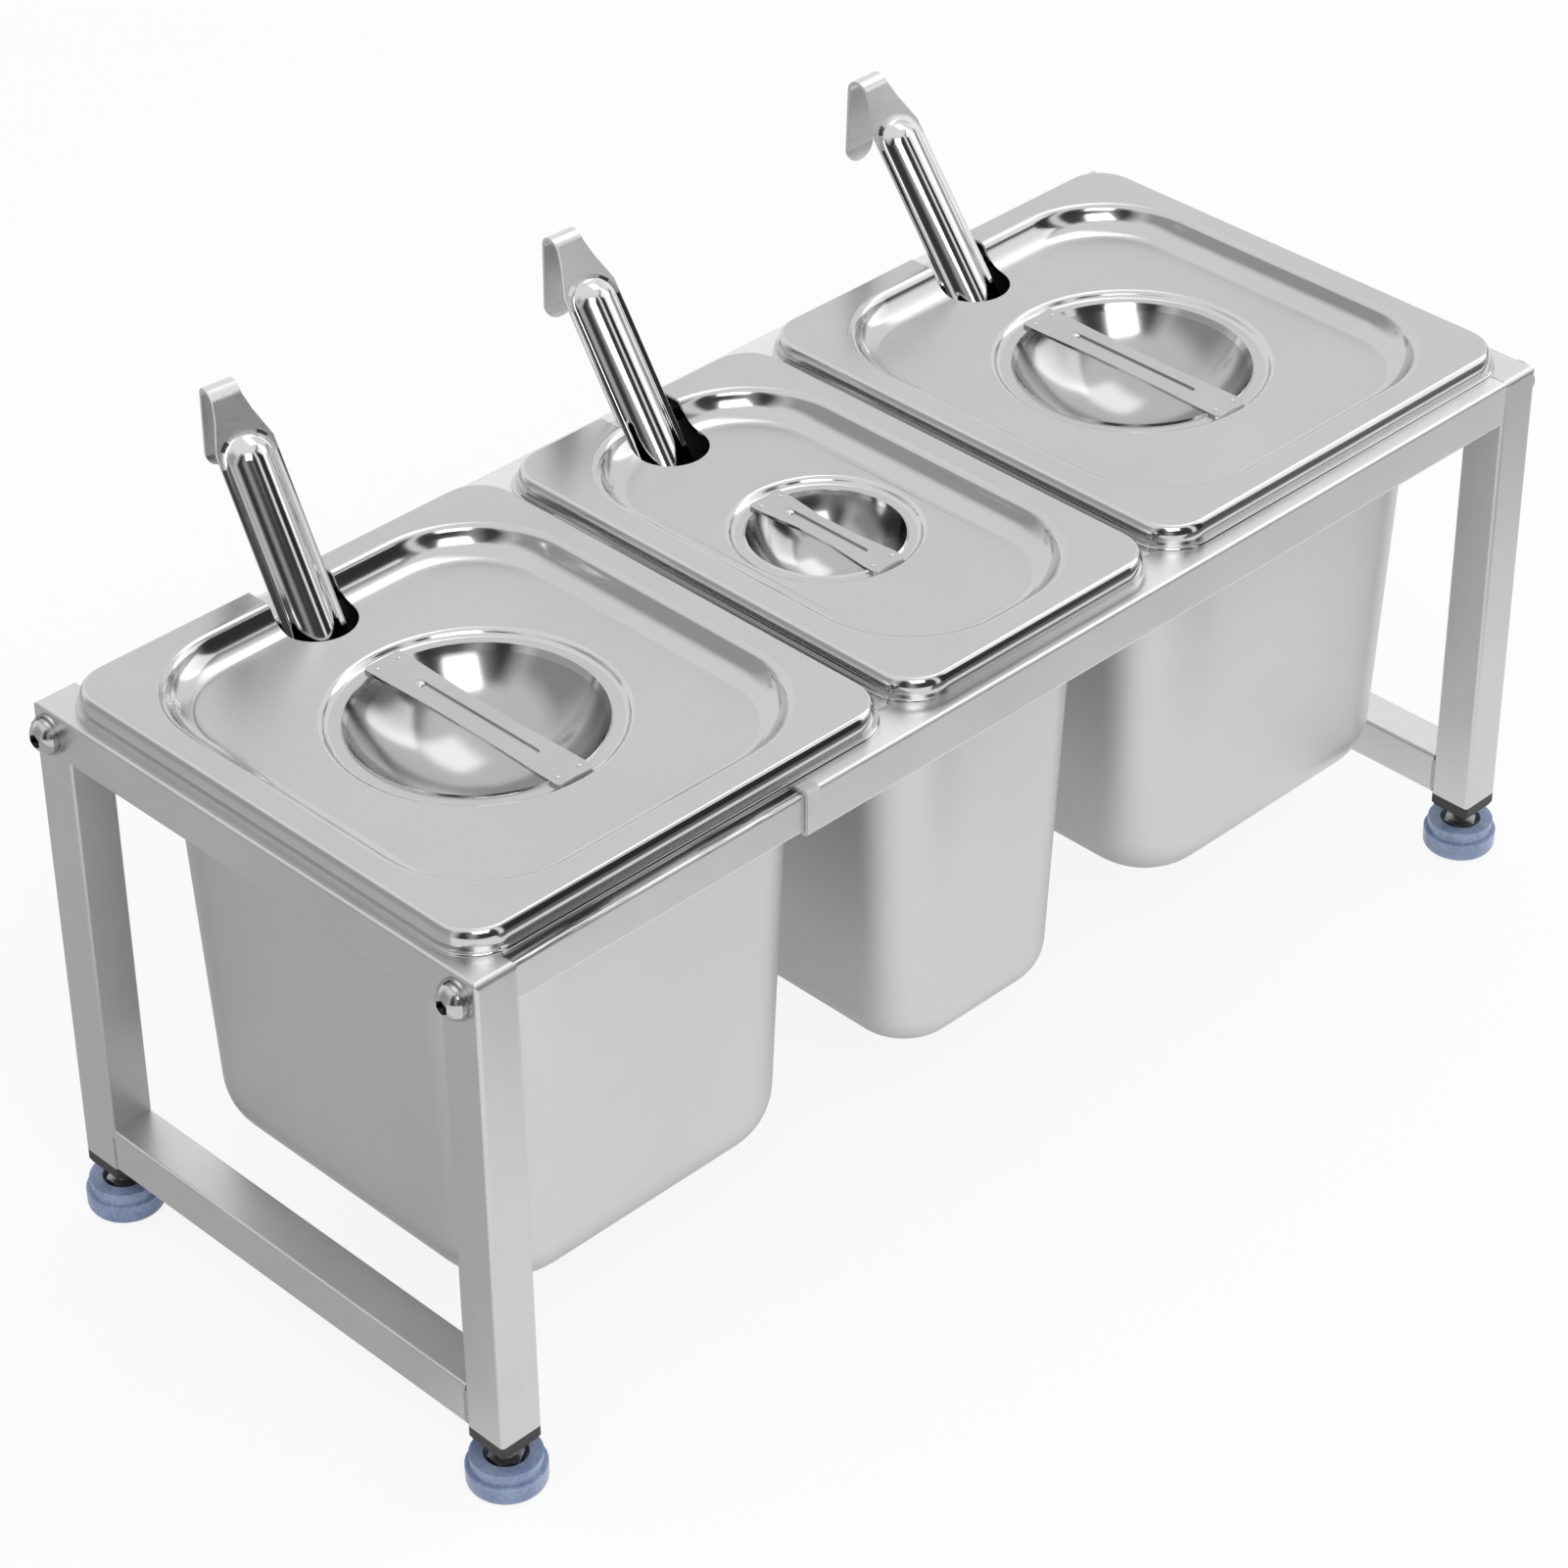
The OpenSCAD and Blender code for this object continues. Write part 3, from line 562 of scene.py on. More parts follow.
def outline_face(name: str, points: Sequence[Sequence[float]]) -> bpy.types.Object:
    """Make a flat face from its outline.

    Args:
        name: the object's name.
        points: the outline's corners, in order.

    Returns:
        The face, in object mode.
    """
    obj = chain(name, [*points, points[0]])
    bpy.ops.mesh.remove_doubles(threshold=0.000001)
    bpy.ops.mesh.select_all(action="SELECT")
    bpy.ops.mesh.edge_face_add()
    leave_edit()
    return obj


def paint(obj: bpy.types.Object, main: bpy.types.Material, *others: bpy.types.Material) -> None:
    """Give an object its materials, the main one on every face."""
    obj.data.materials.clear()
    for material in (main, *others):
        obj.data.materials.append(material)
    for face in obj.data.polygons:
        face.material_index = 0


def paint_where(obj: bpy.types.Object, index: int, test: Callable[[Vector, Vector], bool]) -> None:
    """Give faces another material by their middle and normal."""
    for face in obj.data.polygons:
        if test(face.center, face.normal):
            face.material_index = index


def declare(obj: bpy.types.Object, body: str, slot: str, *nodes: str) -> None:
    """Tell the frame what a piece rides on and what it stands for."""
    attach(obj, body)
    if nodes:
        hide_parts(*nodes)
    LOG.info("%s: %d faces", obj.name, len(obj.data.polygons))


class Pot(Enum):
    """The three places in the row, by the start of their nodes' names."""

    LEFT = "left"
    MIDDLE = "middle"
    RIGHT = "right"


@dataclass
class Pan:
    """A deep drawn pan, hung by its rim; sizes in metres."""

    pot: Pot
    inset: float = 13 * MM
    corner: float = 32 * MM
    fillet: float = 20 * MM
    depth: float = 150 * MM
    rim: float = 176 * MM
    rim_corner: float = 15 * MM
    sheet: float = 0.8 * MM
    draft: float = 7 * MM
    mouth: float = 3 * MM
    band: float = 3.2 * MM
    lip: float = 2.2 * MM
    rim_bend: float = 1 * MM
    bright_fall: float = 4 * MM
    materials: list = field(default_factory=list)

    def build(self) -> bpy.types.Object:
        """Build the pan in place of its node.

        Returns:
            The finished pan.
        """
        low, high = node_box(f"{self.pot.value}_pan")
        width = high.x - low.x
        rim_line = [(0, -self.lip),
                    *arc((-self.rim_bend, -self.rim_bend), self.rim_bend, 0, 90, 6),
                    (-self.band, 0)]
        rim = sweep_round("rim", rim_line, width, self.rim, self.rim_corner)
        wall = sweep_round("wall", self._wall_line(), width - 2 * self.inset,
                           self.rim - 2 * self.inset, self.corner)
        pan = join(rim, wall)
        pan.name = f"{self.pot.value}_pan_drawn"
        edit(pan)
        pick_open_edges(pan, lambda v: abs(v.z) < TOUCH)
        bpy.ops.mesh.bridge_edge_loops()
        pick_open_edges(pan, lambda v: v.z < self.sheet * 1.1 - self.depth)
        bpy.ops.mesh.edge_face_add()
        leave_edit()
        on_rim = Vector((width / 2 - 5 * MM, 0, 0))
        face_towards(pan, on_rim, UP)
        finish_with(pan, "SOLIDIFY", thickness=self.sheet, offset=-1.0)
        move_to(pan, Matrix.Translation(((low.x + high.x) / 2, (low.y + high.y) / 2, high.z)))
        smooth(pan)
        self._dress(pan, high.z)
        declare(pan, f"{self.pot.value}_pan_body", "pan_steel", f"{self.pot.value}_pan")
        return pan

    def _wall_line(self) -> list[Point]:
        """Return the profile of the mouth, the drafted wall and the bottom's fillet."""
        slope = math.degrees(math.atan(self.draft / self.depth))
        sine = math.sin(math.radians(slope))
        inner = self.fillet - self.sheet
        mouth_x = self.mouth - self.sheet
        arc_z = self.fillet - self.depth
        fall_in = (self.mouth * (sine - 1) - inner + arc_z * sine) / math.sqrt(1 - sine ** 2)
        return [(mouth_x + FLAT, 0),
                *arc((mouth_x, -self.mouth), self.mouth, 90, 180 - slope, 8),
                *arc((mouth_x + fall_in, arc_z), inner, -slope, -90, 10)]

    def _dress(self, pan: bpy.types.Object, top: float) -> None:
        """Paint the walls satin and the bends of the rim and mouth bright."""
        paint(pan, *self.materials)
        level = 0.97
        paint_where(pan, 1, lambda c, n: c.z > top - self.bright_fall and abs(n.z) < level)


@dataclass
class Lid:
    """A pressed lid with a recess, a ring ledge, a finger bowl and a notch; sizes in metres."""

    pot: Pot
    ring: float = 45 * MM
    ledge: float = 7.5 * MM
    bowl: float = 22 * MM
    reach: float = 31 * MM
    corner: float = 15 * MM
    height: float = 6 * MM
    lip: float = 1.6 * MM
    edge_run: float = 2.4 * MM
    edge_fall: float = 4.6 * MM
    edge_land: float = 6.5 * MM
    sheet: float = 0.8 * MM
    flange: float = 10.2 * MM
    recess_corner: float = 36 * MM
    drop: float = 7.5 * MM
    fall_bend: float = 3 * MM
    fall_fillet: float = 9 * MM
    tilt: float = 66.0
    step: float = 1.8 * MM
    step_bend: float = 2.2 * MM
    notch: float = 24 * MM
    steps: int = 12
    materials: list = field(default_factory=list)

    def build(self) -> bpy.types.Object:
        """Build the lid in place of its node.

        Returns:
            The finished lid.
        """
        low, high = node_box(f"{self.pot.value}_lid")
        width, deep = high.x - low.x, high.y - low.y
        edge = sweep_round("edge", self._edge_line(), width, deep, self.corner, self.steps)
        recess_width, recess_deep = width - 2 * self.flange, deep - 2 * self.flange
        recess = sweep_round("recess", self._recess_line(), recess_width, recess_deep,
                             self.recess_corner, self.steps)
        dish = spin_full("dish", self._dish_line(), 4 * (self.steps + 1))
        lid = join(edge, recess, dish)
        lid.name = f"{self.pot.value}_lid_pressed"
        edit(lid)
        pick_open_edges(lid, lambda v: abs(v.z) < TOUCH)
        bpy.ops.mesh.bridge_edge_loops()
        pick_open_edges(lid, lambda v: abs(v.z + self.drop) < TOUCH)
        bpy.ops.mesh.bridge_edge_loops()
        leave_edit()
        on_flange = Vector((width / 2 - 8 * MM, 0, 0))
        face_towards(lid, on_flange, UP)
        finish_with(lid, "SOLIDIFY", thickness=self.sheet, offset=-1.0)
        self._cut_notch(lid, deep)
        top = Vector(((low.x + high.x) / 2, (low.y + high.y) / 2, high.z))
        move_to(lid, Matrix.Translation(top))
        smooth(lid)
        finish_with(lid, "WEIGHTED_NORMAL", keep_sharp=True, weight=60)
        self._dress(lid, top)
        declare(lid, f"{self.pot.value}_lid_body", "lid_steel", f"{self.pot.value}_lid")
        return lid

    def _edge_line(self) -> list[Point]:
        """Return the profile of the turned-down lip and the outer bend."""
        wall_x = -(self.lip - self.sheet)
        foot = self.sheet - self.height
        bend = [(wall_x + self.edge_run * (x - 1), self.edge_fall * (z - 1))
                for x, z in arc((0, 0), 1, 0, 90, 18)]
        return [(0, -self.height), (0, foot), (wall_x, foot), *bend, (-self.edge_land, 0)]

    def _recess_line(self) -> list[Point]:
        """Return the profile from the flange down to the panel."""
        turn = math.radians(self.tilt)
        both = self.fall_bend + self.fall_fillet
        fall = self.drop - both * (1 - math.cos(turn))
        run = both * math.sin(turn) + fall / math.tan(turn)
        return [(FLAT, 0),
                *arc((0, -self.fall_bend), self.fall_bend, 90, 90 + self.tilt, 7),
                *arc((-run, self.fall_fillet - self.drop), self.fall_fillet, self.tilt - 90, -90, 10),
                (-run - FLAT, -self.drop)]

    def _dish_line(self) -> list[Point]:
        """Return the profile of the ring ledge and the finger bowl."""
        turn = math.degrees(math.acos(1 - self.step / 2 / self.step_bend))
        foot = self.ring - 2 * self.step_bend * math.sin(math.radians(turn))
        mouth = self.ring - self.ledge
        ball = (mouth ** 2 + self.bowl ** 2) / (2 * self.bowl)
        start = math.degrees(math.asin(mouth / ball)) - 90
        center_z = ball - self.step - self.bowl - self.drop
        soft_run, soft_turn = 0.8 * MM, 1.2
        return [(self.ring + FLAT, -self.drop),
                *arc((self.ring, -self.step_bend - self.drop), self.step_bend, 90, 90 + turn, 6),
                *arc((foot, self.step_bend - self.step - self.drop), self.step_bend, turn - 90, -90, 6),
                (mouth + soft_run, -self.step - self.drop),
                *arc((0, center_z), ball, start + soft_turn, -90, 20)]

    def _cut_notch(self, lid: bpy.types.Object, deep: float) -> None:
        """Cut the ladle's notch with a round-ended block.

        Args:
            lid: the lid, centred on the origin.
            deep: the lid's size along Y.
        """
        radius = self.notch / 2
        past_edge, foot, tall = 0.3 * MM, -12 * MM, 16 * MM
        middle = deep / 2 + past_edge - self.reach + radius
        points = [*arc((0, middle), radius, -180, 0, 18), (radius, deep), (-radius, deep)]
        cutter = outline_face("notch_cutter", [(x, y, foot) for x, y in points])
        edit(cutter)
        bpy.ops.mesh.extrude_region_move(TRANSFORM_OT_translate={"value": (0, 0, tall)})
        bpy.ops.mesh.select_all(action="SELECT")
        bpy.ops.mesh.normals_make_consistent(inside=False)
        leave_edit()
        finish_with(lid, "BOOLEAN", operation="DIFFERENCE", object=cutter, solver="EXACT")
        bpy.data.objects.remove(cutter, do_unlink=True)

    def _dress(self, lid: bpy.types.Object, top: Vector) -> None:
        """Paint the panel and flange satin, the bends and bowl bright, the recess wall softer.

        Args:
            lid: the lid in its place.
            top: the middle of the flange's top.
        """
        paint(lid, *self.materials)
        mouth = self.ring - self.ledge
        under_ledge = top.z - self.drop - self.step - 0.3 * MM
        level, nearly_level = 0.985, 0.998
        low, _ = node_box(f"{self.pot.value}_lid")
        recess = (top - low) - Vector((1, 1, 0)) * (self.flange - MM)

        def radius(c: Vector) -> float:
            """Return a place's distance from the lid's middle."""
            return math.hypot(c.x - top.x, c.y - top.y)

        def in_recess(c: Vector) -> bool:
            """Return whether a place is inside the flange and outside the ring."""
            inside = abs(c.x - top.x) < recess.x and abs(c.y - top.y) < recess.y
            return inside and radius(c) > self.ring + MM

        paint_where(lid, 1, lambda c, n: abs(n.z) < level)
        paint_where(lid, 3, lambda c, n: abs(n.z) < nearly_level and in_recess(c))
        paint_where(lid, 2, lambda c, n: radius(c) < mouth and c.z < under_ledge)


@dataclass
class Ladle:
    """A pressed ladle with a half-tube handle, a flat neck and a hook; sizes in metres."""

    pot: Pot
    lean: float
    side_lean: float
    twist: float
    shoulder_up: float
    offset: float
    inset: float = 13 * MM
    length: float = 211 * MM
    width: float = 18.4 * MM
    tube_width: float = 14 * MM
    tube_height: float = 5.2 * MM
    sheet: float = 1.2 * MM
    neck: float = 14.3 * MM
    neck_width: float = 9.4 * MM
    hook: float = 4.6 * MM
    strip: float = 28 * MM
    tip_width: float = 11.2 * MM
    bowl_width: float = 50 * MM
    bowl_depth: float = 20 * MM
    bowl_wall: float = 1 * MM
    crown: float = 2.5 * MM
    foot: float = 22 * MM
    hook_turn: float = 140.0
    turn_steps: int = 16
    materials: list = field(default_factory=list)

    def build(self) -> bpy.types.Object:
        """Build the ladle in place of its node.

        Returns:
            The finished ladle.
        """
        ladle = join(*self._handle_sheets())
        ladle.name = f"{self.pot.value}_ladle_pressed"
        weld(ladle, 0.00005)
        face_towards(ladle, Vector((0, -self.tube_height, self.length / 2)), Vector((0, -1, 0)))
        finish_with(ladle, "SOLIDIFY", thickness=self.sheet, offset=-1.0, use_even_offset=True)
        bevel(ladle, 0.3 * MM, 50)
        bowl = self._bowl()
        ladle = join(ladle, bowl)
        self._dress(ladle)
        move_to(ladle, self._place())
        smooth(ladle, 40)
        finish_with(ladle, "WEIGHTED_NORMAL", keep_sharp=True, weight=80)
        declare(ladle, f"{self.pot.value}_ladle_body", "ladle_steel", f"{self.pot.value}_ladle")
        return ladle

    def _half_line(self) -> list[Point]:
        """Return the half tube's front from its middle to the flat edge, as x and y."""
        inner = self.tube_height - self.sheet
        half = self.tube_width / 2
        radius = (half ** 2 + inner ** 2) / (2 * inner)
        turn = math.degrees(math.asin(min(1.0, half / radius)))
        *line, (end_x, end_y) = arc((0, radius - self.tube_height), radius, -90, turn - 90, 10)
        bend = [(end_x + 0.1 * MM, end_y - 0.25 * MM), (half + 0.5 * MM, -self.sheet - 0.05 * MM)]
        return [*line, *bend, (self.width / 2, -self.sheet)]

    def _handle_sheets(self) -> list[bpy.types.Object]:
        """Return the sheets of the half tube, its round ends, the flat ends and the hook."""
        half = self._half_line()
        full = [(-x, y) for x, y in reversed(half)] + half[1:]
        top = self.length + self.crown - self.tube_width / 2
        tube = chain("tube", [(x, y, self.foot) for x, y in full])
        lengths = 8
        step = (0, 0, (top - self.foot) / lengths)
        for _ in range(lengths):
            bpy.ops.mesh.extrude_edges_move(TRANSFORM_OT_translate={"value": step})
        leave_edit()
        ends = []
        for name, z, way in (("top_end", top, 1), ("foot_end", self.foot, -1)):
            end = chain(name, [(x, y, z) for x, y in half])
            bpy.ops.mesh.spin(steps=self.turn_steps, angle=way * math.pi, center=(0, 0, z),
                              axis=(0, 1, 0))
            leave_edit()
            ends.append(end)
        bend = self.length + self.neck
        neck_half = self.neck_width / 2
        taper_x, taper_z = neck_half + 1.2 * MM, bend - 5 * MM
        edge = self.width / 2
        neck = self._flat("neck", top, 1, [(-edge, self.length), (-taper_x, taper_z),
                                           (-neck_half, bend), (neck_half, bend),
                                           (taper_x, taper_z), (edge, self.length)])
        below = -4 * MM
        base = self._flat("base", self.foot, -1, [(-edge, below), (edge, below)])
        return [tube, *ends, neck, base, self._hook(bend, neck_half)]

    def _flat(self, name: str, z: float, way: int, rest: Sequence[Point]) -> bpy.types.Object:
        """Return the flat sheet round one end of the half tube.

        Args:
            name: the sheet's name.
            z: the middle of the tube's round end.
            way: 1 at the top end and -1 at the foot.
            rest: the outline's other corners, as X and Z.

        Returns:
            The sheet.
        """
        round_end = arc((0, z), self.width / 2, 0, way * 180, self.turn_steps)
        return outline_face(name, [(x, -self.sheet, up) for x, up in (*round_end, *rest)])

    def _hook(self, bend: float, half: float) -> bpy.types.Object:
        """Return the hook's bend and strip.

        Args:
            bend: the bend's height up the handle.
            half: half the neck's width.

        Returns:
            The hook's sheet.
        """
        hook = chain("hook", [(-half, -self.sheet, bend), (half, -self.sheet, bend)])
        center = (0, self.hook - self.sheet / 2, bend)
        turn = math.radians(self.hook_turn)
        bpy.ops.mesh.spin(steps=self.turn_steps, angle=turn, center=center, axis=(1, 0, 0))
        along = Vector((0, math.sin(turn), math.cos(turn)))
        tip = self.tip_width / 2
        straight = along * (self.strip - tip)
        bpy.ops.mesh.extrude_edges_move(TRANSFORM_OT_translate={"value": tuple(straight)})
        bpy.ops.transform.resize(value=(tip / half, 1, 1))
        steps = 8
        short_of_full = 0.98
        for i in range(steps):
            a0, a1 = (math.pi / 2 * k / steps * short_of_full for k in (i, i + 1))
            move = along * tip * (math.sin(a1) - math.sin(a0))
            bpy.ops.mesh.extrude_edges_move(TRANSFORM_OT_translate={"value": tuple(move)})
            bpy.ops.transform.resize(value=(math.cos(a1) / math.cos(a0), 1, 1))
        leave_edit()
        return hook

    def _bowl(self) -> bpy.types.Object:
        """Return the bowl, moved to the handle's front."""
        radius = self.bowl_width / 2 - self.bowl_wall
        collar = 5 * MM
        deep = self.bowl_depth - collar
        ball = (radius ** 2 + deep ** 2) / (2 * deep)
        start = math.degrees(math.asin(radius / ball)) - 90
        line = [(radius, 0), (radius, -collar / 2),
                *arc((0, ball - self.bowl_depth), ball, start, -90, 16)]
        bowl = spin_full("bowl", line, 48)
        face_towards(bowl, Vector((0, 0, -self.bowl_depth)), UP)
        finish_with(bowl, "SOLIDIFY", thickness=self.bowl_wall, offset=-1.0)
        bevel(bowl, 0.3 * MM, 60)
        move_to(bowl, Matrix.Translation((0, -self.bowl_width / 2, 0)))
        return bowl

    def _place(self) -> Matrix:
        """Return the ladle's place, its back leaning on the pan's mouth."""
        low, high = node_box(f"{self.pot.value}_pan")
        turn = (Matrix.Rotation(-math.radians(self.lean), 4, "X")
                @ Matrix.Rotation(math.radians(self.side_lean), 4, "Y")
                @ Matrix.Rotation(-math.radians(self.twist), 4, "Z"))
        up = turn.to_3x3() @ UP
        across = turn.to_3x3() @ Vector((1, 0, 0))
        mouth, pan_sheet, gap = 3 * MM, 0.8 * MM, 0.3 * MM
        mouth_y = high.y - self.inset - pan_sheet + mouth
        side = self.width / 2 * abs(across.y * up.z - across.z * up.y)
        size = math.hypot(up.y, up.z)
        y = mouth_y - ((mouth + gap) * size + side - mouth * up.y) / up.z
        at_rim = Vector(((low.x + high.x) / 2 + self.offset, y, high.z))
        return Matrix.Translation(at_rim - (self.length - self.shoulder_up) * up) @ turn

    def _dress(self, ladle: bpy.types.Object) -> None:
        """Paint the handle polished, the neck and hook satin, and the bowl darker."""
        paint(ladle, *self.materials)
        neck_z = self.length + self.crown + 0.2 * MM
        shoulder_z = self.length - 8 * MM
        flat_y = -self.sheet - 0.1 * MM
        bowl_z = 6 * MM

        def on_shoulder(c: Vector) -> bool:
            """Return whether a place is on the flat beside the tube's top end."""
            return c.z > shoulder_z and c.y > flat_y and abs(c.x) > self.tube_width / 2

        paint_where(ladle, 1, lambda c, n: c.z > neck_z or on_shoulder(c))
        paint_where(ladle, 2, lambda c, n: c.z < bowl_z)


@dataclass
class StrapMarks:
    """The weld marks at a strap's ends and the dimple at its groove's back end; in metres."""

    pot: Pot
    mouth: float = 37.5 * MM
    radius: float = 0.8 * MM
    height: float = 0.45 * MM
    spread: float = 4.0 * MM
    from_end: float = 3.2 * MM
    dimple: float = 1.7 * MM
    dimple_height: float = 0.9 * MM
    groove_depth: float = 0.6 * MM
    groove_share: float = 0.65
    let_in: float = 0.05 * MM
    materials: list = field(default_factory=list)

    def build(self) -> bpy.types.Object:
        """Build four weld domes and the dimple.

        Returns:
            The finished marks.
        """
        low, high = node_box(f"{self.pot.value}_lid_strap")
        middle = (low + high) / 2
        reach = (high.y - low.y) / 2 - self.from_end
        places = [(middle.x + x * self.spread, middle.y + y * reach, high.z)
                  for x in (-1, 1) for y in (-1, 1)]
        domes = [self._dome(place, self.radius, self.height) for place in places]
        groove_end = (middle.x, middle.y + self.groove_share * self.mouth, high.z - self.groove_depth)
        domes.append(self._dome(groove_end, self.dimple, self.dimple_height))
        marks = join(*domes)
        marks.name = f"{self.pot.value}_strap_weld_marks"
        edit(marks)
        bpy.ops.mesh.normals_make_consistent(inside=False)
        leave_edit()
        smooth(marks, 60)
        paint(marks, *self.materials)
        declare(marks, f"{self.pot.value}_lid_body", "strap_steel")
        return marks

    def _dome(self, place: Place, radius: float, height: float) -> bpy.types.Object:
        """Return a low dome that is let in a little at its place."""
        profile = [(radius * x, height * z) for x, z in arc((0, 0), 1, 0, 90, 6)]
        dome = spin_full("dome", profile, 20)
        move_to(dome, Matrix.Translation((place[0], place[1], place[2] - self.let_in)))
        return dome


@dataclass
class Stud:
    """A levelling stud with a real thread and a hexagon; sizes in metres."""

    corner: str
    pitch: float = 1 * MM
    outer: float = 3 * MM
    root: float = 2.45 * MM
    hexagon: float = 10 * MM
    nut_height: float = 3 * MM
    nut_up: float = 5.5 * MM
    crest: float = 0.985
    crest_span: Point = (0.42, 0.58)
    materials: list = field(default_factory=list)

    def build(self) -> bpy.types.Object:
        """Build the stud in place of its node.

        Returns:
            The finished stud.
        """
        low, high = node_box(f"{self.corner}_stud")
        turns = int((high.z - low.z) / self.pitch) - 1
        crests = [(self.outer * self.crest, 0, self.pitch * share) for share in self.crest_span]
        thread = chain("thread", [(self.root, 0, 0), *crests, (self.root, 0, self.pitch)])
        leave_edit()
        finish_with(thread, "SCREW", angle=2 * math.pi, screw_offset=self.pitch, iterations=turns,
                    steps=24, render_steps=24, axis="Z", use_merge_vertices=True)
        foot = Vector(((low.x + high.x) / 2, (low.y + high.y) / 2, low.z))
        move_to(thread, Matrix.Translation(foot))
        deselect()
        across_corners = self.hexagon / math.cos(math.pi / 6)
        bpy.ops.mesh.primitive_cylinder_add(vertices=6, radius=across_corners / 2,
                                            depth=self.nut_height, location=(0, 0, 0))
        nut = bpy.context.object
        bevel(nut, 0.4 * MM, 50)
        move_to(nut, Matrix.Translation(foot + UP * self.nut_up))
        stud = join(thread, nut)
        stud.name = f"{self.corner}_stud_threaded"
        smooth(stud, 30)
        paint(stud, *self.materials)
        declare(stud, f"{self.corner}_stud_body", "stud_steel", f"{self.corner}_stud")
        return stud


@dataclass
class WeldBeads:
    """Small rippled weld beads where the bottom crossbars meet the legs; sizes in metres."""

    side: str
    bead: float = 0.9 * MM
    ripple: float = 1.1 * MM
    from_end: float = 1.5 * MM
    let_in: float = 0.35 * MM
    stand_off: float = 0.1 * MM
    flatness: tuple[float, float, float, float] = (0.6, 1.0, 1.15, 1.0)
    materials: list = field(default_factory=list)

    def build(self) -> bpy.types.Object:
        """Build the beads at both ends of one bottom crossbar.

        Returns:
            The finished beads.
        """
        low, high = node_box(f"{self.side}_bottom_crossbar")
        count = int((high.z - low.z - 2 * self.from_end) / self.ripple)
        beads = []
        for y, way in ((low.y, 1), (high.y, -1)):
            for x, face in ((low.x, -1), (high.x, 1)):
                for i in range(count):
                    z = low.z + self.from_end + (i + 0.5) * self.ripple
                    place = (x - face * self.let_in, y + way * self.stand_off, z)
                    beads.append(self._drop(place))
        weldline = join(*beads)
        weldline.name = f"{self.side}_crossbar_weld_beads"
        smooth(weldline, 60)
        paint(weldline, *self.materials)
        declare(weldline, f"rack_{self.side}", "frame_steel")
        return weldline

    def _drop(self, place: Place) -> bpy.types.Object:
        """Return one flattened drop of weld metal."""
        deselect()
        bpy.ops.mesh.primitive_uv_sphere_add(segments=10, ring_count=6, radius=self.bead,
                                             location=(0, 0, 0))
        drop = bpy.context.object
        move_to(drop, Matrix.Translation(place) @ Matrix.Diagonal(self.flatness))
        return drop


@dataclass
class Rack:
    """The frame's carried-over nodes and their finishes."""

    finishes: dict

    def dress(self) -> None:
        """Give each visible frame node its material."""
        plan: dict[str, Steel | Plastic] = {}
        for side in ("left", "right"):
            plan |= {f"{side}_top_crossbar": SATIN_Y, f"{side}_bottom_crossbar": SATIN_Y,
                     f"{side}_bolts": BOLT_STEEL, f"{side}_flat_washers": WASHER_STEEL,
                     f"{side}_spring_washers": WASHER_STEEL, f"{side}_rail_inserts": WASHER_STEEL}
            for end in ("front", "back"):
                plan |= {f"{side}_{end}_leg": SATIN_Z, f"{side}_{end}_plug": BLACK_PLUG,
                         f"{side}_{end}_pad": BLUE_PAD, f"{end}_inner_rail": STREAKED,
                         f"{end}_outer_rail": SATIN_X, f"{end}_rail_collar": COLLAR}
        for pot in Pot:
            plan[f"{pot.value}_lid_strap"] = STRAP_SATIN
        for node, finish in plan.items():
            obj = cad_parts[node]
            paint_slots(obj, self.finishes[finish])
            LOG.info("%s: %s", node, finish.name)


def paint_slots(obj: bpy.types.Object, material: bpy.types.Material) -> None:
    """Assign a material to every slot of a carried-over node."""
    if not obj.material_slots:
        obj.data.materials.append(material)
    for slot in obj.material_slots:
        slot.material = material


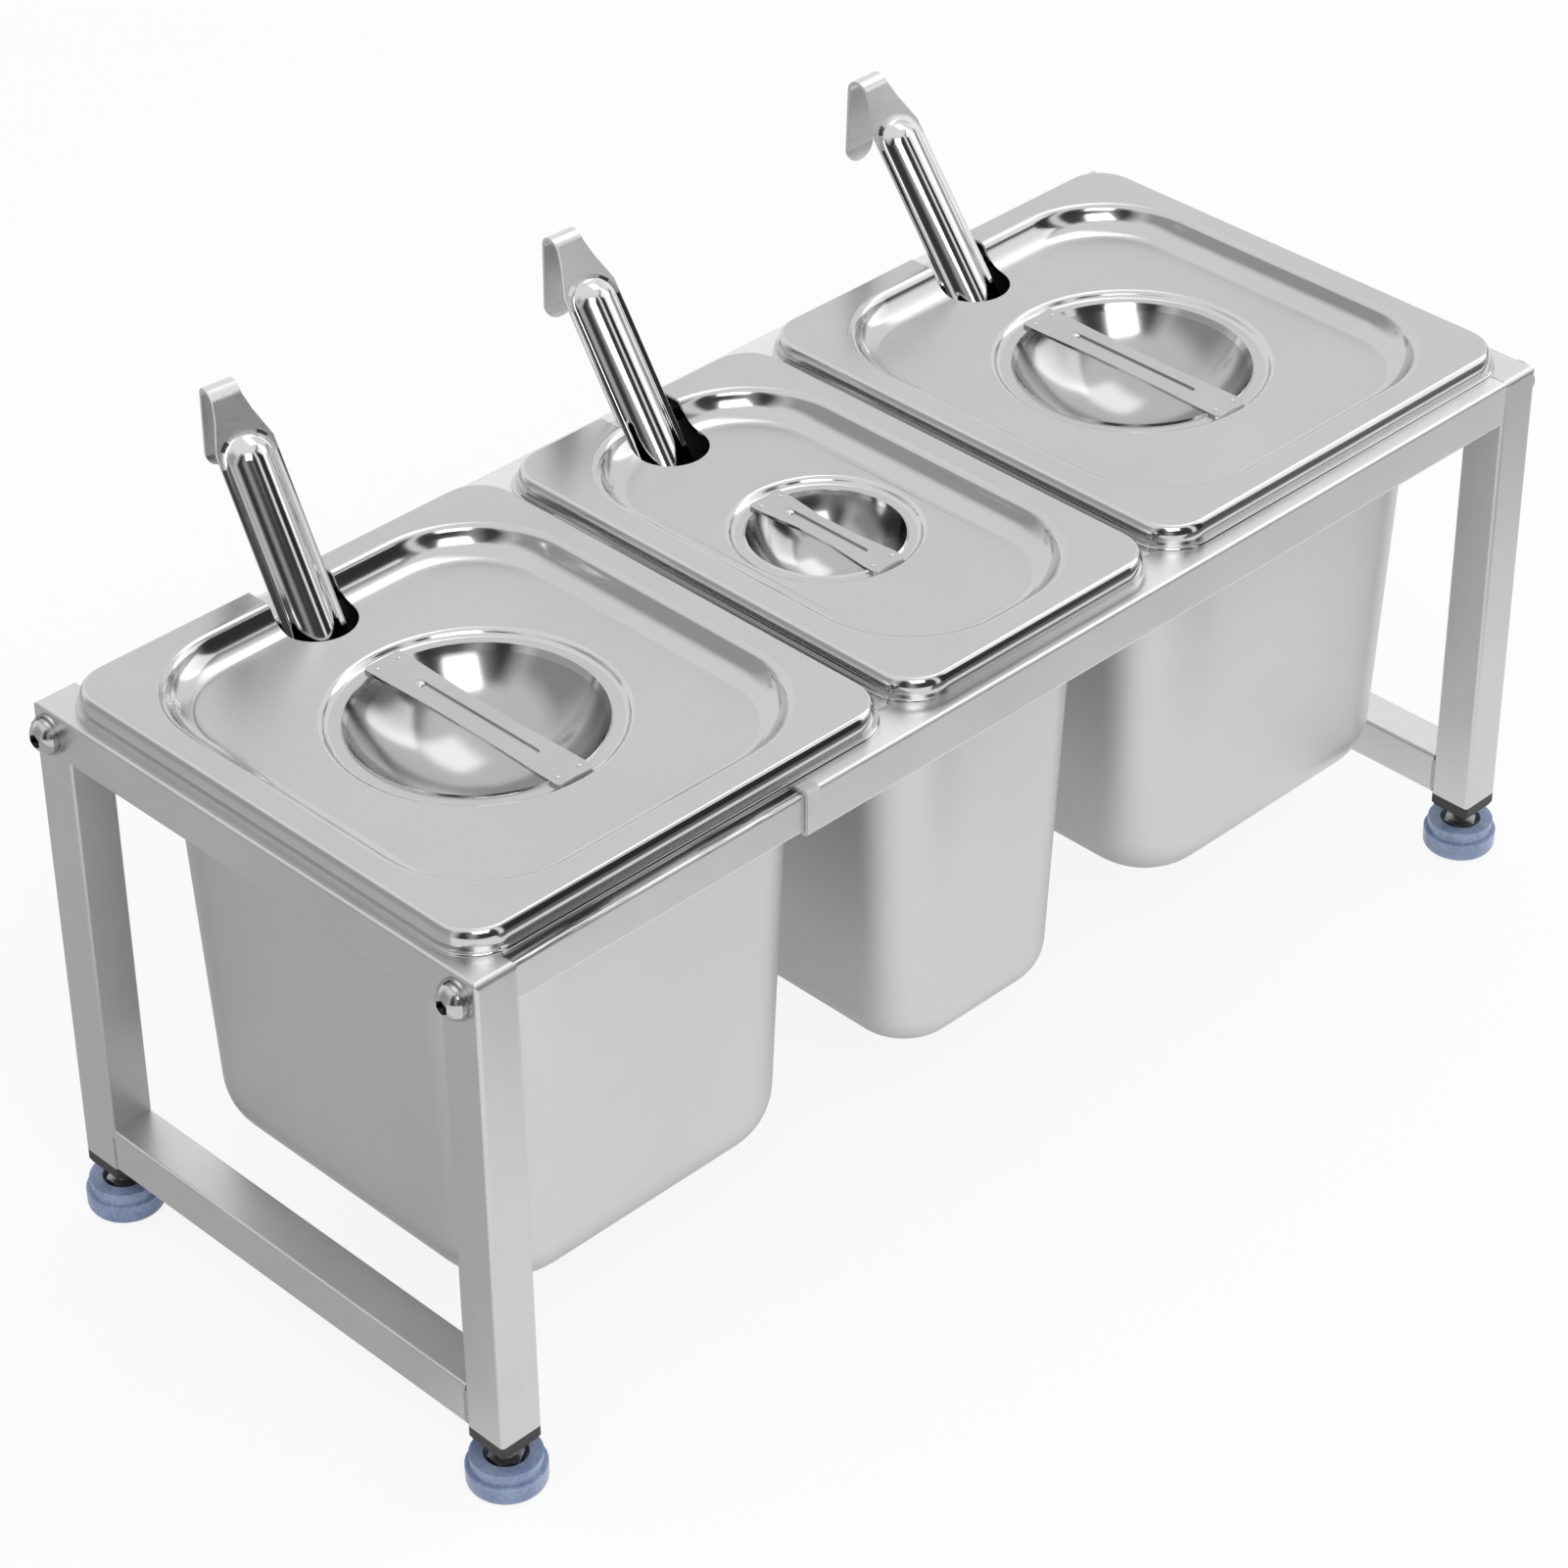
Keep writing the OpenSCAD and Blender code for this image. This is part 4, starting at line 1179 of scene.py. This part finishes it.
@dataclass(frozen=True)
class Cards:
    """Masks for the black cards and the softbox that only gloss mirrors.

    Each span is where a mask starts and where it is full. Those of the room lie along a mirrored
    direction's X, Y or height; those of the floor are places in metres.
    """

    ceiling: Point = (0.76, 0.84)
    front_y: Point = (0.12, 0.28)
    front_x: Point = (0.2, 0.35)
    front_tone: float = 0.97
    front_end: Point = (0.62, 0.95)
    front_end_loss: float = 0.85
    front_top: Point = (0.58, 0.72)
    front_top_loss: float = 0.3
    behind_y: Point = (0.05, 0.3)
    behind_tone: float = 0.95
    right_x: Point = (0.965, 0.985)
    right_top: Point = (0.15, 0.3)
    right_tone: float = 0.65
    left_x: Point = (0.2, 0.6)
    left_y: Point = (-0.2, 0.1)
    left_top: Point = (0.55, 0.75)
    left_tone: float = 0.55
    strip_way: Point = (0.966, 0.259)
    strip_start: Point = (0.08, 0.14)
    strip_half: float = 0.12
    strip_gain: float = 2.0
    glow_start: Point = (0.25, 0.45)
    glow_half: float = 0.35
    glow_gain: float = 0.4
    box_x: Point = (0.2, 0.35)
    box_y: Point = (-0.15, -0.05)
    box_end: Point = (0.38, 0.48)
    box_height: Point = (0.68, 0.76)
    box_gain: float = 0.9
    floor_x: Point = (0.1, 0.15)
    floor_y: Point = (0.165, 0.185)
    floor_tone: float = 0.95
    gap_start: Point = (0.27, 0.3)
    gap_end: Point = (0.5, 0.55)
    floor_left_x: Point = (0.34, 0.42)
    floor_left_y: Point = (-0.02, 0.05)
    floor_left_tone: float = 0.48

    def room(self, graph: Graph) -> Sock:
        """Return how much the room's cards and softbox change each direction's light.

        Args:
            graph: the world's nodes.

        Returns:
            -1 where a card is black, 0 in the plain room, and more in the softbox.
        """
        x, y, up = graph.axes(graph.add("TexCoord", output="Generated"))
        not_high = 1.0 - up.above(*self.ceiling)
        front = (-y).above(*self.front_y) * x.above(*self.front_x)
        front = front * (1.0 - x.above(*self.front_end) * self.front_end_loss)
        front = front * (self.front_tone - up.above(*self.front_top) * self.front_top_loss) * not_high
        behind = (-y).above(*self.behind_y) * (1.0 - x.above(*self.front_x))
        behind = behind * not_high * self.behind_tone
        right = x.above(*self.right_x) * (1.0 - up.above(*self.right_top)) * self.right_tone
        left = (-x).above(*self.left_x) * (1.0 - up.above(*self.left_top))
        left = left * y.above(*self.left_y) * self.left_tone
        across = x * self.strip_way[0] + y * self.strip_way[1]
        strip = (across.peak(0.0, self.strip_half) * self.strip_gain).clamped()
        strip = strip * x.above(*self.strip_start)
        glow = (x - y).peak(0.0, self.glow_half) * (-x).above(*self.glow_start) * self.glow_gain
        dark = (front + behind + right + left).clamped() * (1.0 - (strip + glow).clamped())
        softbox = y.above(*self.box_y) * (1.0 - y.above(*self.box_end))
        softbox = softbox * up.above(*self.box_height) * x.above(*self.box_x)
        return softbox * self.box_gain - dark

    def floor(self, shader: Shader) -> Sock:
        """Return how much the cards darken each place of the floor.

        Args:
            shader: the floor's shader.

        Returns:
            0 on the plain floor and 1 where a card is black.
        """
        x, y, _ = shader.axes(shader.add("TexCoord", output="Object"))
        front = (-y).above(*self.floor_y) * x.above(*self.floor_x)
        front = front * (1.0 - (-y).above(*self.gap_start) * (1.0 - (-y).above(*self.gap_end)))
        left = y.above(*self.floor_left_y) * (1.0 - x.above(*self.floor_left_x))
        return (front * self.floor_tone + left * self.floor_left_tone).clamped()


@dataclass
class Studio:
    """Floor, world, lamps and the photograph's camera.

    The camera's focal length, picture and centre are in pixels, and its turn is a vector whose
    length is the angle in radians. Everything else is in metres.
    """

    cards: Cards = Cards()
    floor_size: float = 12
    floor_color: tuple[float, float, float, float] = (0.93, 0.93, 0.93, 1.0)
    floor_white: float = 0.86
    room_light: float = 0.75
    focal: float = 4788.86
    pixels: float = 1601.0
    center: Point = (843.05, 823.43)
    turn: Place = (2.0563, -0.85792, 0.43675)
    eye: Place = (-0.62445, -0.7507, 0.93297)
    sensor: float = 36.0
    aim: Place = (0.2, 0.09, 0.12)

    def build(self) -> None:
        """Make the studio."""
        self._floor()
        self._world()
        self._lamp("key", (-0.5, -1.1, 1.5), 0.9, 9.0)
        self._lamp("fill", (1.6, -0.6, 1.1), 1.2, 5.0)
        self._camera()

    def _floor(self) -> None:
        """Make a white floor that keeps only the object's soft shadow."""
        deselect()
        bpy.ops.mesh.primitive_plane_add(size=self.floor_size, location=(0, 0, 0))
        floor = bpy.context.object
        floor.name = "floor"
        shader = Shader("floor_white")
        shader.set(Base_Color=self.floor_color, Roughness=0.9)
        strength = 1.0 - shader.ray("Glossy") * self.cards.floor(shader)
        glow = shader.add("Emission", None, {"Color": (1, 1, 1, 1), "Strength": strength})
        plain = Sock(shader.tree, shader.surface.outputs[0])
        share = shader.seen() * self.floor_white
        mix = shader.add("MixShader", None, {0: share, 1: plain, 2: glow})
        shader.feed(shader.tree.nodes["Material Output"].inputs["Surface"], mix)
        floor.data.materials.append(shader.material)

    def _world(self) -> None:
        """Light the object plainly, with white where the camera and gloss look."""
        world = bpy.data.worlds.new("studio")
        bpy.context.scene.world = world
        world.use_nodes = True
        graph = Graph(world.node_tree)
        soft = graph.add("Background", None, {"Color": (1, 1, 1, 1), "Strength": self.room_light})
        tone = 1.0 + graph.ray("Glossy") * self.cards.room(graph)
        white = graph.add("Background", None, {"Color": (1, 1, 1, 1), "Strength": tone})
        mix = graph.add("MixShader", None, {0: graph.seen(), 1: soft, 2: white})
        graph.feed(world.node_tree.nodes["World Output"].inputs["Surface"], mix)

    def _lamp(self, name: str, place: Place, size: float, power: float) -> None:
        """Make one soft lamp.

        Args:
            name: the lamp's name.
            place: where it hangs, in metres.
            size: its square's side in metres.
            power: its power in watts.
        """
        deselect()
        bpy.ops.object.light_add(type="AREA", location=place)
        lamp = bpy.context.object
        lamp.name = name
        lamp.data.size = size
        lamp.data.energy = power
        way = Vector(self.aim) - Vector(place)
        lamp.rotation_euler = way.to_track_quat("-Z", "Y").to_euler()

    def _camera(self) -> None:
        """Make the camera at the photograph's place."""
        deselect()
        bpy.ops.object.camera_add(location=self.eye)
        camera = bpy.context.object
        vector = Vector(self.turn)
        world_to_camera = Matrix.Rotation(vector.length, 3, vector.normalized())
        flip = Matrix(((1, 0, 0), (0, -1, 0), (0, 0, -1)))
        camera.rotation_euler = (world_to_camera.transposed() @ flip).to_euler()
        camera.data.sensor_fit = "AUTO"
        camera.data.sensor_width = self.sensor
        camera.data.lens = self.focal / self.pixels * self.sensor
        camera.data.shift_x = (self.pixels / 2 - self.center[0]) / self.pixels
        camera.data.shift_y = (self.center[1] - self.pixels / 2) / self.pixels
        camera.data.clip_end = 30
        bpy.context.scene.camera = camera


FINISHES = (SATIN_X, SATIN_Y, SATIN_Z, STREAKED, LID_SATIN, STRAP_SATIN, PAN_SATIN, BRIGHT,
            WALL_SOFT, BOWL_BRIGHT, HANDLE_BRIGHT, NECK_SATIN, BOLT_STEEL, WASHER_STEEL,
            STUD_STEEL, COLLAR, BLACK_PLUG, BLUE_PAD)

# How the middle pan and its lid differ from the large ones.
SMALL_PAN = {"inset": 10.5 * MM, "corner": 27 * MM, "fillet": 15 * MM}
SMALL_LID = {"ring": 30.5 * MM, "ledge": 6.5 * MM, "bowl": 18 * MM, "reach": 33 * MM}
SMALL_MOUTH = 24 * MM

# How each ladle stands: its lean back, lean sideways and twist in degrees, then how far its
# shoulder is above the rim and how far it stands off the pan's middle.
LADLE_POSES = {Pot.LEFT: (31, 2.2, 15, 51.3 * MM, -0.6 * MM),
               Pot.MIDDLE: (35.3, 1.4, 10, 46.6 * MM, 0.4 * MM),
               Pot.RIGHT: (36, -0.8, 5, 51.2 * MM, 0.4 * MM)}


@dataclass
class CondimentHolder:
    """The whole object, built in order."""

    pieces: list = field(default_factory=list)

    def build(self) -> None:
        """Build every piece and dress the frame."""
        made = {finish: finish.make() for finish in FINISHES}
        Rack(made).dress()
        for pot in Pot:
            self._lidded_pan(pot, made)
        for pot in Pot:
            self._ladle(pot, made)
        for side in ("left", "right"):
            self.pieces.append(WeldBeads(side, materials=[made[WASHER_STEEL]]).build())
            for end in ("front", "back"):
                self.pieces.append(Stud(f"{side}_{end}", materials=[made[STUD_STEEL]]).build())

    def _lidded_pan(self, pot: Pot, made: dict) -> None:
        """Build one pan, its lid and the marks on the lid's strap.

        Args:
            pot: its place in the row.
            made: the materials by finish.
        """
        small = pot is Pot.MIDDLE
        pan_look = [made[PAN_SATIN], made[BRIGHT]]
        lid_look = [made[LID_SATIN], made[BRIGHT], made[BOWL_BRIGHT], made[WALL_SOFT]]
        pan = Pan(pot, materials=pan_look, **(SMALL_PAN if small else {}))
        lid = Lid(pot, materials=lid_look, **(SMALL_LID if small else {}))
        marks = StrapMarks(pot, materials=[made[BRIGHT]], **({"mouth": SMALL_MOUTH} if small else {}))
        self.pieces += [pan.build(), lid.build(), marks.build()]

    def _ladle(self, pot: Pot, made: dict) -> None:
        """Build the ladle that stands in one pan.

        Args:
            pot: the pan's place in the row.
            made: the materials by finish.
        """
        look = [made[HANDLE_BRIGHT], made[NECK_SATIN], made[BOWL_BRIGHT]]
        inset = {"inset": SMALL_PAN["inset"]} if pot is Pot.MIDDLE else {}
        self.pieces.append(Ladle(pot, *LADLE_POSES[pot], materials=look, **inset).build())


def main() -> None:
    """Build the object and its studio."""
    logging.basicConfig(level=logging.INFO, format="%(name)s %(message)s")
    holder = CondimentHolder()
    holder.build()
    Studio().build()
    bpy.context.scene.view_settings.view_transform = "Standard"
    LOG.info("%d new pieces", len(holder.pieces))
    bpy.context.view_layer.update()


if __name__ == "__main__":
    main()
